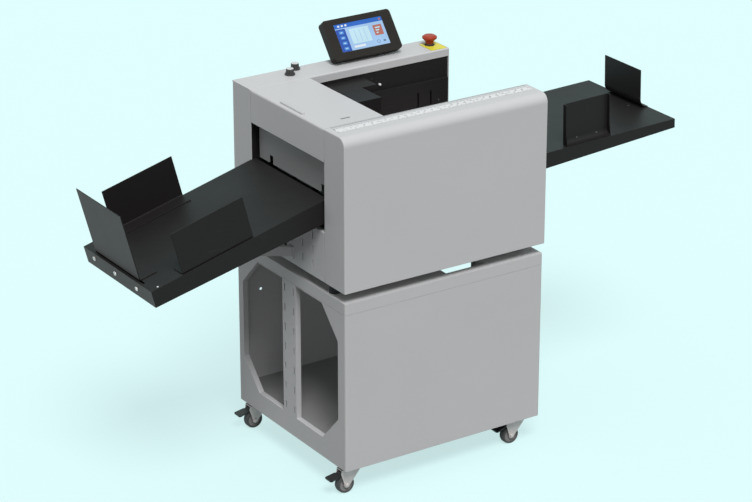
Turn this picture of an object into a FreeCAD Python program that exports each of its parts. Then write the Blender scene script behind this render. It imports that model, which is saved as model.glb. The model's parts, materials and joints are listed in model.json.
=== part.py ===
import FreeCAD, Part
import math
import os

# Paper creasing machine on a wheeled stand, in millimetres.
# Sheets travel along +X, the front cover faces -Y and +Z is up.
# The shapes are drawn from the machine's front left bottom corner. At the end they are moved
# so that the origin is the centre of the whole object's outline on the floor.

V = FreeCAD.Vector
X_AXIS = V(1, 0, 0)
Y_AXIS = V(0, 1, 0)
Z_AXIS = V(0, 0, 1)

# ---- Driving dimensions: machine body ----
machine_length = 620.0
machine_depth = 536.0
machine_height = 412.0
cover_sheet = 2.0
plate_sheet = 4.0
front_cover_depth = 92.0
cover_edge_radius = 24.0
cover_corner_radius = 3.0
cover_lip = 20.0
deck_depth = 91.0
deck_lip = 22.0
deck_bend = 2.0
rear_corner_bend = 3.0
end_panel_height = 136.0
end_panel_fold = 14.0
end_panel_bend = 1.0
end_vent_margin = 55.5
end_vent_pitch = 48.0
end_vent_width = 4.0
end_vent_height = 19.5
end_vent_rows = 3
end_vent_row_pitch = 39.5
end_vent_below_top = 24.5
end_vent_stagger = 3.0
chassis_flange = 30.0
side_plate_gap = 1.0
side_plate_drop = 24.0
foot_height = 29.0
foot_radius = 15.0
foot_taper = 2.0
foot_inset_x = 25.0
foot_inset_y = 86.0

# ---- Feed lid ----
lid_length = 180.0
lid_seam = 2.0
lid_skirt = 88.0
lid_flange = 15.0
lid_right_lip = 9.0
lid_bend = 3.0
lid_flange_gap = 1.0
hinge_from_lid_edge = 10.0
hinge_below_top = 10.0
hinge_pin_radius = 3.0
hinge_eye_wall = 3.0
hinge_ear_radius = 7.0
hinge_ear_neck = 2.0
grip_length = 106.0
grip_offset = 8.0
grip_rounding = 2.5
grip_width = 10.0
grip_height = 5.0
grip_from_edge = 10.0

# ---- Paper path and creasing tools ----
path_height = 226.0
roller_gap = 0.3
feed_x = 70.0
crease_x = 130.0
shaft_radius = 6.0
roller_sleeve_length = 70.0
roller_sleeve_pitch = 100.0
gear_module = 1.5
gear_teeth = 24
gear_width = 8.0
gear_backlash = 0.3
running_clearance = 0.08
anvil_width = 24.0
anvil_height = 46.0
anvil_groove_width = 3.0
anvil_groove_depth = 2.0
blade_thickness = 1.6
blade_holder_width = 20.0
blade_holder_height = 32.0
blade_depth = 22.5
blade_dip = 1.0
blade_end_gap = 1.0
blade_tongue_reach = 2.0
blade_tongue_inset = 2.0
crease_travel = 4.5
shaft_end_reach = 4.0
cam_height = 310.0
cam_radius = 18.0
cam_width = 8.0
cam_from_plate = 8.0
cam_pad_margin = 1.0
cam_pad_inset = 2.0
follower_gap = 0.3
table_sheet = 2.0
table_start_x = 155.0
table_drop = 2.0
table_bend = 1.5

# ---- Drive ----
motor_size = 57.0
motor_length = 70.0
motor_height = 90.0
motor_shaft_radius = 4.0
motor_pulley_radius = 10.0
roller_pulley_radius = 20.0
belt_thickness = 1.5
belt_width = 9.6
belt_gap = 0.3
belt_side_gap = 0.2
pulley_flange = 2.0
pulley_flange_sheet = 1.0
gear_plate_gap = 2.0
pulley_gear_gap = 1.5
motor_corner_radius = 6.0
motor_shaft_depth = 20.0
motor_bore_depth = 22.0

# ---- Gate, head cover and well panel ----
gate_x = 20.0
gate_gap = 1.2
gate_return = 20.0
gate_bend = 1.5
gate_below_plates = 2.0
gate_rear_gap = 11.0
gate_notch_width = 17.0
gate_notch_height = 21.5
gate_notch_chamfer = 2.0
gate_notch_offsets = (-142.0, 106.0)
head_cover_drop = 32.0
head_cover_start_x = 150.0
head_cover_end_x = 299.0
head_cover_step_x = 345.0
head_cover_reach = 159.0
head_cover_step_reach = 67.0
head_cover_flange = 40.0
well_panel_right_gap = 6.0
well_panel_drop = 79.0
well_panel_proud = 8.0
well_slots_from_right = (103.0, 62.0)
well_slot_below_top = 28.0
well_slot_width = 5.0
well_slot_above_table = 17.0

# ---- Infeed tray and its stops ----
tray_sheet = 1.5
infeed_slope = 14.9
infeed_height = 221.0
infeed_length = 511.5
infeed_entry = 12.0
infeed_end_flange = 46.0
infeed_entry_flange = 62.0
tray_side_gap = 0.5
tray_slot_width = 6.0
tray_slot_length = 248.0
tray_slot_from_end = 13.0
tray_channel_width = 26.0
tray_channel_depth = 12.0
guide_sheet = 2.0
guide_foot_lift = 0.1
guide_bend = 2.0
stop_width = 227.0
stop_height = 185.0
stop_foot = 50.0
stop_offset = 10.0
stop_from_end = 8.0
guide_length = 209.0
guide_height = 116.5
guide_foot = 44.0
front_guide_from_end = 93.5
rear_guide_from_end = 89.5
front_guide_inset = 3.0
rear_guide_inset = 0.0
arm_sheet = 3.0
arm_width = 26.0
arm_reach = 96.0
arm_height = 18.0
arm_rise = 23.0
arm_tray_reach = 176.0
arm_offsets = (-23.0, 23.0)
arm_foot_width = 24.0
arm_foot_margin = 3.0

# ---- Outfeed tray and its stops ----
outfeed_slope = 1.4
outfeed_height = 208.4
outfeed_length = 494.0
outfeed_width = 381.0
outfeed_offset = 5.5
outfeed_end_flange = 25.0
outfeed_entry_flange = 46.0
outfeed_stop_width = 157.0
outfeed_stop_height = 110.0
outfeed_stop_foot = 27.0
outfeed_stop_bend = 24.0
outfeed_stop_from_end = 27.0
outfeed_stop_offset = 5.0
outfeed_guide_length = 145.0
outfeed_guide_height = 114.0
outfeed_guide_foot = 18.0
outfeed_guide_bend = 15.0
outfeed_guide_flange = 13.0
outfeed_guide_from_machine = 135.0
outfeed_guide_from_edge = 4.0

# ---- Touch screen ----
screen_width = 212.6
screen_face_height = 114.5
screen_frame_depth = 22.8
screen_back_depth = 38.0
screen_back_inset = 18.0
screen_lean = 38.3
screen_start_x = 278.7
screen_foot_from_rear = 62.3
screen_deck_gap = 2.5
screen_corner = 10.0
display_width = 150.3
display_height = 79.0
display_rise = 1.7
display_recess = 1.0
display_back = 6.0
screen_pivot_up = 35.2
screen_pivot_back = 19.4
screen_pin_radius = 3.0
screen_ear_radius = 7.0
screen_ear_spacing = 60.0
screen_ear_sheet = 4.0
screen_ear_gap = 0.3
screen_ear_clearance = 0.5
screen_foot_sheet = 2.0
screen_foot_depth = 32.0
screen_foot_margin = 8.0
screen_foot_corner = 4.0

# ---- Emergency stop, knobs, power inlet ----
estop_from_right = 32.0
estop_from_rear = 45.0
estop_plate_from_right = 29.0
estop_plate_from_rear = 56.5
estop_plate_x = 48.0
estop_plate_y = 61.0
estop_plate_corner = 2.0
estop_plate_sheet = 1.5
estop_stem_radius = 11.0
estop_stem_low = 20.0
estop_spigot_radius = 6.0
estop_spigot_length = 8.0
estop_neck = 6.0
estop_head_gap = 0.3
estop_head_radius = 20.0
estop_head_height = 22.0
knob_radius = 14.0
knob_skirt_height = 3.5
knob_grip_radius = 11.0
knob_grip_taper = 0.8
knob_height = 16.0
knob_flute_count = 8
knob_flute_radius = 2.4
knob_flute_reach = 12.2
knobs_from_left = (148.0, 182.0)
knobs_from_rear = (45.5, 15.0)
knob_spindle_radius = 4.0
knob_spindle_low = 16.0
knob_deck_gap = 0.3
inlet_from_right = 80.0
inlet_height = 62.0
inlet_width = 52.0
inlet_tall = 60.0
inlet_flange = 3.0
inlet_flange_side = 5.0
inlet_flange_end = 3.0
inlet_depth = 26.0
socket_width = 25.0
socket_tall = 17.0
socket_corner = 5.0
socket_depth = 16.0
socket_rise = 16.0
socket_pin = 2.0
socket_pin_tall = 4.0
socket_pin_inset = 3.0
socket_pin_places = ((-7.0, -1.0), (7.0, -1.0), (0.0, 3.5))
rocker_width = 14.0
rocker_tall = 18.0
rocker_clearance = 0.2
rocker_end_clearance = 1.4
rocker_well_depth = 8.0
rocker_recess = 6.0
rocker_from_top = 15.0
rocker_pin_radius = 1.2
rocker_pin_reach = 1.5
rocker_swing = 16.0
vent_count = 7
vent_length = 70.0
vent_width = 4.0
vent_pitch = 12.0
vent_height = 226.0
vents_from_left = 155.0
vents_from_right = 248.0

# ---- Stand ----
stand_length = 614.0
stand_depth = 530.0
stand_height = 469.0
stand_sheet = 2.0
stand_bend = 4.0
stand_top_skirt = 32.0
stand_seam_chamfer = 0.9
stand_return = 16.0
window_front_border = 35.5
window_rear_border = 27.0
window_top_border = 2.0
window_bottom_border = 56.0
window_chamfer_y = 76.0
window_chamfer_z = 80.0
window_flange = 15.0
post_width = 64.0
post_offset = 5.0
post_slot_rows = 7
post_slot_pitch = 56.0
post_slot_width = 5.0
post_slot_height = 20.0
post_slot_spread = 42.0
base_height = 48.0
base_rim = 80.0
cable_slot_length = 122.0
cable_slot_width = 30.0
cable_slot_from_front = 28.0
cable_slot_from_left = 326.0
rear_hole_radius = 4.0
rear_hole_from_left = 70.0
rear_hole_below_top = 162.0

# ---- Casters ----
caster_height = 76.0
caster_inset_x = 45.0
caster_inset_y = 36.0
caster_plate_size = 62.0
caster_plate_sheet = 3.0
caster_plate_corner = 6.0
wheel_radius = 25.0
wheel_width = 19.0
wheel_trail = 27.0
wheel_hub_radius = 9.0
wheel_rim_radius = 19.0
wheel_dish = 2.5
wheel_shoulder = 1.5
wheel_tread_edge = 4.0
axle_radius = 4.0
axle_end = 1.5
axle_boss_radius = 8.0
fork_sheet = 2.5
fork_side_gap = 1.2
fork_head_radius = 21.0
fork_head_height = 6.0
fork_front = 14.0
fork_low_edge = 4.0
pedal_boss_radius = 5.0
king_pin_radius = 5.0
swivel_gap = 0.3
pedal_width = 32.0
pedal_reach = 40.0
pedal_sheet = 3.0
pedal_neck = 10.0
pedal_corner = 4.0
pedal_lip = 2.5
pedal_lip_height = 4.0
pedal_side_gap = 0.3
pedal_hub_wall = 1.8
pedal_pin_radius = 2.0
pedal_pin_back = 12.0
pedal_pin_up = 32.0
pedal_droop = 14.0

# ---- Sizes worked out from the driving dimensions ----
rear_y = machine_depth
deck_front_y = machine_depth - deck_depth
lid_front_y = front_cover_depth + lid_seam
lid_rear_y = deck_front_y - lid_seam
front_plate_inner_y = front_cover_depth + side_plate_gap + plate_sheet
rear_plate_inner_y = deck_front_y + cover_sheet
side_plate_top = machine_height - side_plate_drop
head_cover_top = machine_height - head_cover_drop
path_mid_y = (front_plate_inner_y + rear_plate_inner_y) / 2
path_span = rear_plate_inner_y - front_plate_inner_y
roller_radius = gear_module * gear_teeth / 2 - roller_gap / 2
lower_roller_z = path_height - roller_gap / 2 - roller_radius
upper_roller_z = path_height + roller_gap / 2 + roller_radius
bore_radius = shaft_radius + running_clearance
hinge_x = lid_length - hinge_from_lid_edge
hinge_z = machine_height - hinge_below_top
stand_x0 = (machine_length - stand_length) / 2
stand_x1 = stand_x0 + stand_length
stand_y0 = (machine_depth - stand_depth) / 2
stand_y1 = stand_y0 + stand_depth
stand_top = -foot_height
stand_bottom = stand_top - stand_height
stand_seam = stand_top - stand_top_skirt
floor_z = stand_bottom - caster_height
axle_z = floor_z + wheel_radius
gear_y = rear_plate_inner_y + plate_sheet + gear_plate_gap
pulley_y = gear_y + gear_width + pulley_gear_gap
estop_x = machine_length - estop_from_right
estop_y = machine_depth - estop_from_rear
inlet_x = machine_length - inlet_from_right
knob_places = [(x, machine_depth - y) for x, y in zip(knobs_from_left, knobs_from_rear)]
outfeed_mid_y = path_mid_y + outfeed_offset
screen_lean_rad = math.radians(screen_lean)
infeed_slope_rad = math.radians(infeed_slope)
outfeed_slope_rad = math.radians(outfeed_slope)
table_top = path_height - table_drop


# ---- Drawing helpers ----
def block(x0, y0, z0, x1, y1, z1):
    return Part.makeBox(x1 - x0, y1 - y0, z1 - z0, V(x0, y0, z0))


def rod(radius, start, axis, length):
    return Part.makeCylinder(radius, length, start, axis)


def prism(points, push):
    face = Part.Face(Part.makePolygon(list(points) + [points[0]]))
    return face.extrude(push)


def fuse(first, *others):
    return first.fuse(list(others)).removeSplitter()


def edges_along(solid, axis):
    """The straight edges of a solid that run along an axis."""
    found = []
    for edge in solid.Edges:
        if isinstance(edge.Curve, Part.Line) and abs(edge.Curve.Direction.dot(axis)) > 0.999:
            found.append(edge)
    return found


def rounded_block(x0, y0, z0, x1, y1, z1, radius, axis=Z_AXIS):
    solid = block(x0, y0, z0, x1, y1, z1)
    return solid.makeFillet(radius, edges_along(solid, axis))


def corner_arc(before, corner, after, radius):
    """The start, middle and end of the arc that rounds one corner of a 2D path."""
    a = (before - corner).normalize()
    b = (after - corner).normalize()
    half = math.acos(max(-1.0, min(1.0, a.dot(b)))) / 2
    start = corner + a * (radius / math.tan(half))
    end = corner + b * (radius / math.tan(half))
    centre = corner + (a + b).normalize() * (radius / math.sin(half))
    middle = centre + (corner - centre).normalize() * radius
    return start, middle, end


def path_edges(points, radii, place):
    """Edges along a 2D path whose inner corners are rounded by the radii."""
    edges = []
    last = points[0]
    for i in range(1, len(points) - 1):
        start, middle, end = corner_arc(points[i - 1], points[i], points[i + 1], radii[i - 1])
        edges.append(Part.makeLine(place(last), place(start)))
        edges.append(Part.Arc(place(start), place(middle), place(end)).toShape())
        last = end
    edges.append(Part.makeLine(place(last), place(points[-1])))
    return edges


def bent_sheet(corners, sheet, bend, place, push):
    """Sheet metal bent along 2D corners, with its thickness on the left of the path."""
    path = [V(u, w, 0) for u, w in corners]
    normals = []
    for a, b in zip(path, path[1:]):
        run = (b - a).normalize()
        normals.append(V(-run.y, run.x, 0))
    offset = [path[0] + normals[0] * sheet]
    near_radii = []
    far_radii = []
    for i in range(1, len(path) - 1):
        n1 = normals[i - 1]
        n2 = normals[i]
        offset.append(path[i] + (n1 + n2) * (sheet / (1 + n1.dot(n2))))
        turns_left = n1.cross(n2).z > 0
        near_radii.append(bend + sheet if turns_left else bend)
        far_radii.append(bend if turns_left else bend + sheet)
    offset.append(path[-1] + normals[-1] * sheet)
    edges = path_edges(path, near_radii, place)
    edges.append(Part.makeLine(place(path[-1]), place(offset[-1])))
    back = path_edges(offset, far_radii, place)
    edges.extend(back)
    edges.append(Part.makeLine(place(offset[0]), place(path[0])))
    wire = Part.Wire(Part.__sortEdges__(edges))
    return Part.Face(wire).extrude(push)


def in_xy(z):
    return lambda p: V(p.x, p.y, z)


def in_xz(y):
    return lambda p: V(p.x, y, p.y)


def in_yz(x):
    return lambda p: V(x, p.x, p.y)


def turned(profile, centre, axis):
    """A solid of revolution about an axis: profile holds (radius, distance along) pairs."""
    side = X_AXIS if abs(axis.dot(X_AXIS)) < 0.5 else Y_AXIS
    points = [centre + side * r + axis * h for r, h in profile]
    face = Part.Face(Part.makePolygon(points + [points[0]]))
    return face.revolve(centre, axis, 360)


# ---- Stand ----
def stand_top_plate():
    outer = rounded_block(stand_x0, stand_y0, stand_seam, stand_x1, stand_y1, stand_top,
                          stand_bend + stand_sheet)
    lower_edges = [e for e in outer.Edges if e.BoundBox.ZMax < stand_seam + 0.01]
    outer = outer.makeChamfer(stand_seam_chamfer, lower_edges)
    s = stand_sheet
    inner = rounded_block(stand_x0 + s, stand_y0 + s, stand_seam - 1,
                          stand_x1 - s, stand_y1 - s, stand_top - s, stand_bend)
    slot_x = stand_x0 + cable_slot_from_left
    slot_y = stand_y0 + cable_slot_from_front
    slot = block(slot_x, slot_y, stand_top - s - 1,
                 slot_x + cable_slot_length, slot_y + cable_slot_width, stand_top + 1)
    return outer.cut([inner, slot])


def stand_panel(rear):
    """Front or rear panel: a sheet with its two upright edges bent back around the sides."""
    if rear:
        corners = [(stand_x1, stand_y1 - stand_return), (stand_x1, stand_y1),
                   (stand_x0, stand_y1), (stand_x0, stand_y1 - stand_return)]
    else:
        corners = [(stand_x0, stand_y0 + stand_return), (stand_x0, stand_y0),
                   (stand_x1, stand_y0), (stand_x1, stand_y0 + stand_return)]
    panel = bent_sheet(corners, stand_sheet, stand_bend, in_xy(stand_bottom),
                       Z_AXIS * (stand_seam - stand_bottom))
    if rear:
        hole = rod(rear_hole_radius, V(stand_x0 + rear_hole_from_left, stand_y1 - 5,
                                       stand_top - rear_hole_below_top), Y_AXIS, 10)
        panel = panel.cut(hole)
    return panel


def post_middle():
    return (stand_y0 + stand_y1) / 2 + post_offset


def window_outline(front_window, grow, x):
    """Window with its two outer corners cut off, grown by some width all round."""
    low = stand_bottom + window_bottom_border - grow
    high = stand_seam - window_top_border + grow
    legs = 1 / window_chamfer_y + 1 / window_chamfer_z
    slant = math.hypot(1 / window_chamfer_y, 1 / window_chamfer_z)
    share = 1 + grow * (legs - slant)
    cut_y = window_chamfer_y * share
    cut_z = window_chamfer_z * share
    if front_window:
        outer = stand_y0 + window_front_border - grow
        inner = post_middle() - post_width / 2 + grow
    else:
        outer = stand_y1 - window_rear_border + grow
        inner = post_middle() + post_width / 2 - grow
        cut_y = -cut_y
    points = [(inner, low), (outer + cut_y, low), (outer, low + cut_z),
              (outer, high - cut_z), (outer + cut_y, high), (inner, high)]
    return [V(x, y, z) for y, z in points]


def post_slots(x):
    middle = post_middle()
    centre_z = (stand_seam - window_top_border + stand_bottom + window_bottom_border) / 2
    slots = []
    for row in range(post_slot_rows):
        z = centre_z + (row - (post_slot_rows - 1) / 2) * post_slot_pitch
        for side in (-1, 1):
            y = middle + side * post_slot_spread / 2
            slots.append(block(x - 1, y - post_slot_width / 2, z - post_slot_height / 2,
                               x + stand_sheet + 1, y + post_slot_width / 2,
                               z + post_slot_height / 2))
    return slots


def stand_side_frame():
    """Left side frame: a sheet with two big windows, flanged inwards, and a slotted post."""
    x0 = stand_x0
    sheet = block(x0, stand_y0 + stand_return, stand_bottom,
                  x0 + stand_sheet, stand_y1 - stand_return, stand_seam)
    flanges = []
    holes = []
    for front_window in (True, False):
        flanges.append(prism(window_outline(front_window, stand_sheet, x0), X_AXIS * window_flange))
        holes.append(prism(window_outline(front_window, 0, x0 - 1), X_AXIS * (window_flange + 2)))
    return fuse(sheet, *flanges).cut(holes + post_slots(x0))


def mirrored_across(solid, x):
    return solid.mirror(V(x, 0, 0), X_AXIS)


def stand_base_plate():
    """Raised floor of the stand: a folded tray turned over, with a rim for the casters."""
    s = stand_sheet
    outer = rounded_block(stand_x0 + s, stand_y0 + s, stand_bottom,
                          stand_x1 - s, stand_y1 - s, stand_bottom + base_height, stand_bend)
    inside = rounded_block(stand_x0 + 2 * s, stand_y0 + 2 * s, stand_bottom + s,
                           stand_x1 - 2 * s, stand_y1 - 2 * s, stand_bottom + base_height - s,
                           stand_bend - s / 2)
    rim = base_rim
    mouth = block(stand_x0 + rim, stand_y0 + rim, stand_bottom - 1,
                  stand_x1 - rim, stand_y1 - rim, stand_bottom + s + 1)
    return outer.cut([inside, mouth])


# ---- Casters ----
def caster_centres():
    xs = (stand_x0 + caster_inset_x, stand_x1 - caster_inset_x)
    ys = (stand_y0 + caster_inset_y, stand_y1 - caster_inset_y)
    return {"fl": (xs[0], ys[0]), "fr": (xs[1], ys[0]), "rl": (xs[0], ys[1]), "rr": (xs[1], ys[1])}


def caster_plates():
    plates = []
    half = caster_plate_size / 2
    top = stand_bottom
    for x, y in caster_centres().values():
        plate = rounded_block(x - half, y - half, top - caster_plate_sheet,
                              x + half, y + half, top, caster_plate_corner)
        pin_hole = rod(king_pin_radius + running_clearance,
                       V(x, y, top - caster_plate_sheet - 1), Z_AXIS, caster_plate_sheet)
        plates.append(plate.cut(pin_hole))
    return Part.makeCompound(plates)


def caster_fork(x, y):
    """Swivel head with king pin, two legs that sweep back to the axle, axle and pedal pin."""
    head_top = stand_bottom - caster_plate_sheet - swivel_gap
    head_low = head_top - fork_head_height
    head = rod(fork_head_radius, V(x, y, head_low), Z_AXIS, fork_head_height)
    pin = rod(king_pin_radius, V(x, y, head_top - 1), Z_AXIS, caster_plate_sheet)
    axle_x = x - wheel_trail
    pedal_x = axle_x - pedal_pin_back
    pedal_z = axle_z + pedal_pin_up
    leg_out = wheel_width / 2 + fork_side_gap + fork_sheet
    solids = []
    for side in (-1, 1):
        low_y = y + leg_out - fork_sheet if side > 0 else y - leg_out
        axle_boss = rod(axle_boss_radius, V(axle_x, low_y, axle_z), Y_AXIS, fork_sheet)
        pedal_boss = rod(pedal_boss_radius, V(pedal_x, low_y, pedal_z), Y_AXIS, fork_sheet)
        web = prism([V(axle_x - axle_boss_radius + 0.3, low_y, axle_z + 2),
                     V(axle_x + axle_boss_radius - 0.3, low_y, axle_z - 2),
                     V(x + fork_front, low_y, head_low - fork_low_edge),
                     V(x + fork_front, low_y, head_low + 1),
                     V(pedal_x - pedal_boss_radius + 2, low_y, head_low + 1),
                     V(pedal_x - pedal_boss_radius + 0.2, low_y, pedal_z)], Y_AXIS * fork_sheet)
        solids.extend([axle_boss, pedal_boss, web])
    crown = block(pedal_x - pedal_boss_radius + 2, y - leg_out, head_low,
                  x + fork_front, y + leg_out, head_low + fork_sheet)
    axle_half = leg_out + axle_end
    axle = rod(axle_radius, V(axle_x, y - axle_half, axle_z), Y_AXIS, 2 * axle_half)
    pedal_pin = rod(pedal_pin_radius, V(pedal_x, y - leg_out, pedal_z), Y_AXIS, 2 * leg_out)
    return fuse(head, pin, crown, axle, pedal_pin, *solids)


def caster_wheel(x, y):
    """Wheel with a rounded tread, dished sides and a hub bored for the axle."""
    centre = V(x - wheel_trail, y, axle_z)
    half = wheel_width / 2
    bore = axle_radius + running_clearance
    dish = half - wheel_dish
    shoulder = wheel_radius - wheel_shoulder
    tread = half - wheel_tread_edge
    right = [(wheel_radius, tread), (shoulder, half), (wheel_rim_radius, half),
             (wheel_rim_radius, dish), (wheel_hub_radius, dish), (wheel_hub_radius, half), (bore, half)]
    left = [(radius, -along) for radius, along in reversed(right)]
    return turned(left + right, centre, Y_AXIS)


def caster_pedal(x, y):
    """Brake pedal: a hub on the fork's pin and a wide foot plate that reaches past the wheel."""
    pin_x = x - wheel_trail - pedal_pin_back
    pin_z = axle_z + pedal_pin_up
    low = pin_z - pedal_sheet / 2
    half_hub = wheel_width / 2 + fork_side_gap - pedal_side_gap
    hub = rod(pedal_pin_radius + pedal_hub_wall, V(pin_x, y - half_hub, pin_z), Y_AXIS, 2 * half_hub)
    neck = block(pin_x - pedal_neck, y - half_hub, low, pin_x, y + half_hub, low + pedal_sheet)
    w = pedal_width / 2
    toe = pin_x - pedal_reach
    heel = pin_x - pedal_neck + 1
    c = pedal_corner
    foot = prism([V(heel, y - w + c - 1, low), V(toe + c, y - w, low), V(toe, y - w + c, low),
                  V(toe, y + w - c, low), V(toe + c, y + w, low), V(heel, y + w - c + 1, low)],
                 Z_AXIS * pedal_sheet)
    lip = block(toe, y - w + c, low, toe + pedal_lip, y + w - c, pin_z + pedal_lip_height)
    pedal = fuse(hub, neck, foot, lip)
    pedal = pedal.cut(rod(pedal_pin_radius + running_clearance, V(pin_x, y - w, pin_z), Y_AXIS, 2 * w))
    pedal.rotate(V(pin_x, y, pin_z), Y_AXIS, -pedal_droop)
    return pedal


# ---- Machine body ----
def machine_feet():
    feet = []
    for x in (foot_inset_x, machine_length - foot_inset_x):
        for y in (foot_inset_y, machine_depth - foot_inset_y):
            feet.append(Part.makeCone(foot_radius, foot_radius - foot_taper, foot_height,
                                      V(x, y, -foot_height), Z_AXIS))
    return Part.makeCompound(feet)


def chassis_tray():
    s = cover_sheet
    height = chassis_flange + s
    outer = rounded_block(s, s, 0, machine_length - s, machine_depth - s, height, rear_corner_bend)
    inner = block(2 * s, 2 * s, s, machine_length - 2 * s, machine_depth - 2 * s, height + 1)
    return outer.cut(inner)


def cover_outline(inset, x):
    """Side outline of the front cover, drawn in from its skin."""
    top = machine_height - inset
    radius = cover_edge_radius - inset
    centre_y = cover_edge_radius
    centre_z = machine_height - cover_edge_radius
    arc_middle = V(x, centre_y - radius * math.cos(math.pi / 4), centre_z + radius * math.sin(math.pi / 4))
    front = V(x, inset, centre_z)
    back = V(x, centre_y, top)
    if inset:
        tail = [V(x, front_cover_depth - inset, top),
                V(x, front_cover_depth - inset, machine_height - cover_lip),
                V(x, front_cover_depth + 1, machine_height - cover_lip),
                V(x, front_cover_depth + 1, -1), V(x, inset, -1)]
    else:
        tail = [V(x, front_cover_depth, top), V(x, front_cover_depth, 0), V(x, 0, 0)]
    edges = [Part.Arc(front, arc_middle, back).toShape()]
    stops = [back] + tail + [front]
    for a, b in zip(stops, stops[1:]):
        edges.append(Part.makeLine(a, b))
    return Part.Face(Part.Wire(edges))


def front_cover():
    """Formed front cover: front skin, rounded top edge, top strip, two end caps and a rear lip."""
    outer = cover_outline(0, 0).extrude(X_AXIS * machine_length)
    rounded = []
    for edge in outer.Edges:
        box = edge.BoundBox
        at_end = box.XLength < 0.01
        at_back_or_floor = box.YMin > front_cover_depth - 0.01 or box.ZMax < 0.01
        if at_end and not at_back_or_floor:
            rounded.append(edge)
    outer = outer.makeFillet(cover_corner_radius, rounded)
    inner = cover_outline(cover_sheet, cover_sheet).extrude(X_AXIS * (machine_length - 2 * cover_sheet))
    return outer.cut(inner)


def rear_cover():
    """Bent rear cover with louvre slots and the window of the power inlet."""
    top = machine_height - cover_sheet
    corners = [(machine_length, deck_front_y), (machine_length, rear_y), (0, rear_y), (0, deck_front_y)]
    cover = bent_sheet(corners, cover_sheet, rear_corner_bend, in_xy(0), Z_AXIS * top)
    tools = [block(inlet_x - inlet_width / 2, rear_y - 5, inlet_height - inlet_tall / 2,
                   inlet_x + inlet_width / 2, rear_y + 5, inlet_height + inlet_tall / 2)]
    for group_x in (vents_from_left, machine_length - vents_from_right):
        for i in range(vent_count):
            z = vent_height + i * vent_pitch
            tools.append(block(group_x - vent_length / 2, rear_y - 5, z,
                               group_x + vent_length / 2, rear_y + 5, z + vent_width))
    return cover.cut(tools)


def top_deck():
    """Top strip over the drive side, with a lip that hangs into the well."""
    corners = [(rear_y, machine_height), (deck_front_y, machine_height),
               (deck_front_y, machine_height - deck_lip)]
    deck = bent_sheet(corners, cover_sheet, deck_bend, in_yz(0), X_AXIS * machine_length)
    lip_low = machine_height - deck_lip - 1
    lip_back = deck_front_y + cover_sheet + deck_bend + 1
    under_top = machine_height - cover_sheet
    tools = [block(-1, deck_front_y - 1, lip_low, lid_length + lid_seam, lip_back, under_top),
             block(machine_length - cover_sheet, deck_front_y - 1, lip_low,
                   machine_length + 1, lip_back, under_top)]
    for x, y in knob_places:
        tools.append(rod(knob_spindle_radius + running_clearance,
                         V(x, y, machine_height - 5), Z_AXIS, 10))
    tools.append(rod(estop_stem_radius + running_clearance,
                     V(estop_x, estop_y, machine_height - 5), Z_AXIS, 10))
    return deck.cut(tools)


def lower_end_panels():
    """Left and right lower end panels, each with a field of upright vent slots."""
    s = cover_sheet
    top = end_panel_height
    corners = [(end_panel_fold, top), (0, top), (0, 0)]
    left = bent_sheet(corners, s, end_panel_bend, in_xz(lid_front_y),
                      Y_AXIS * (deck_front_y - lid_front_y))
    room = deck_front_y - lid_front_y - 2 * end_vent_margin
    columns = int(room / end_vent_pitch + 0.001) + 1
    first_y = (lid_front_y + deck_front_y - (columns - 1) * end_vent_pitch) / 2
    half_w = end_vent_width / 2
    half_h = end_vent_height / 2
    slots = []
    for column in range(columns):
        for row in range(end_vent_rows):
            y = first_y + column * end_vent_pitch
            z = top - end_vent_below_top - row * end_vent_row_pitch + (column % 2) * end_vent_stagger
            slots.append(block(-1, y - half_w, z - half_h, s + 1, y + half_w, z + half_h))
    fold_end = block(s, lid_front_y - 1, s, end_panel_fold + 1, front_plate_inner_y + side_plate_gap,
                     top + 1)
    left = left.cut(slots + [fold_end])
    return Part.makeCompound([left, mirrored_across(left, machine_length / 2)])


def side_plate(front):
    """Inner side plate: bores for the shafts, a guide slot for the blade and a hinge ear."""
    if front:
        y0 = front_plate_inner_y - plate_sheet
    else:
        y0 = rear_plate_inner_y
    y1 = y0 + plate_sheet
    low = cover_sheet
    margin = 2 * cover_sheet
    plate = block(margin, y0, low, machine_length - margin, y1, side_plate_top)
    ear_low = block(hinge_x - hinge_ear_radius, y0, side_plate_top - 1,
                    hinge_x + hinge_ear_neck, y1, hinge_z)
    ear_top = rod(hinge_ear_radius, V(hinge_x, y0, hinge_z), Y_AXIS, plate_sheet)
    plate = fuse(plate, ear_low, ear_top)
    half = blade_holder_width / 2 + running_clearance
    tongue_low = blade_bottom() + blade_tongue_inset - crease_travel - blade_end_gap
    tongue_high = blade_bottom() + blade_holder_height - blade_tongue_inset + blade_end_gap
    tools = [rod(bore_radius, V(feed_x, y0 - 1, lower_roller_z), Y_AXIS, plate_sheet + 2),
             rod(bore_radius, V(feed_x, y0 - 1, upper_roller_z), Y_AXIS, plate_sheet + 2),
             rod(bore_radius, V(crease_x, y0 - 1, cam_height), Y_AXIS, plate_sheet + 2),
             rod(hinge_pin_radius, V(hinge_x, y0 - 1, hinge_z), Y_AXIS, plate_sheet + 2),
             block(crease_x - half, y0 - 1, tongue_low, crease_x + half, y1 + 1, tongue_high)]
    if not front:
        tools.append(rod(motor_shaft_radius + running_clearance,
                         V(feed_x, y0 - 1, motor_height), Y_AXIS, plate_sheet + 2))
    return plate.cut(tools)


def lid_flange_places():
    """Front faces of the lid's two inner hinge flanges."""
    return (front_plate_inner_y + lid_flange_gap, lid_rear_y - lid_flange_gap - cover_sheet)


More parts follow.
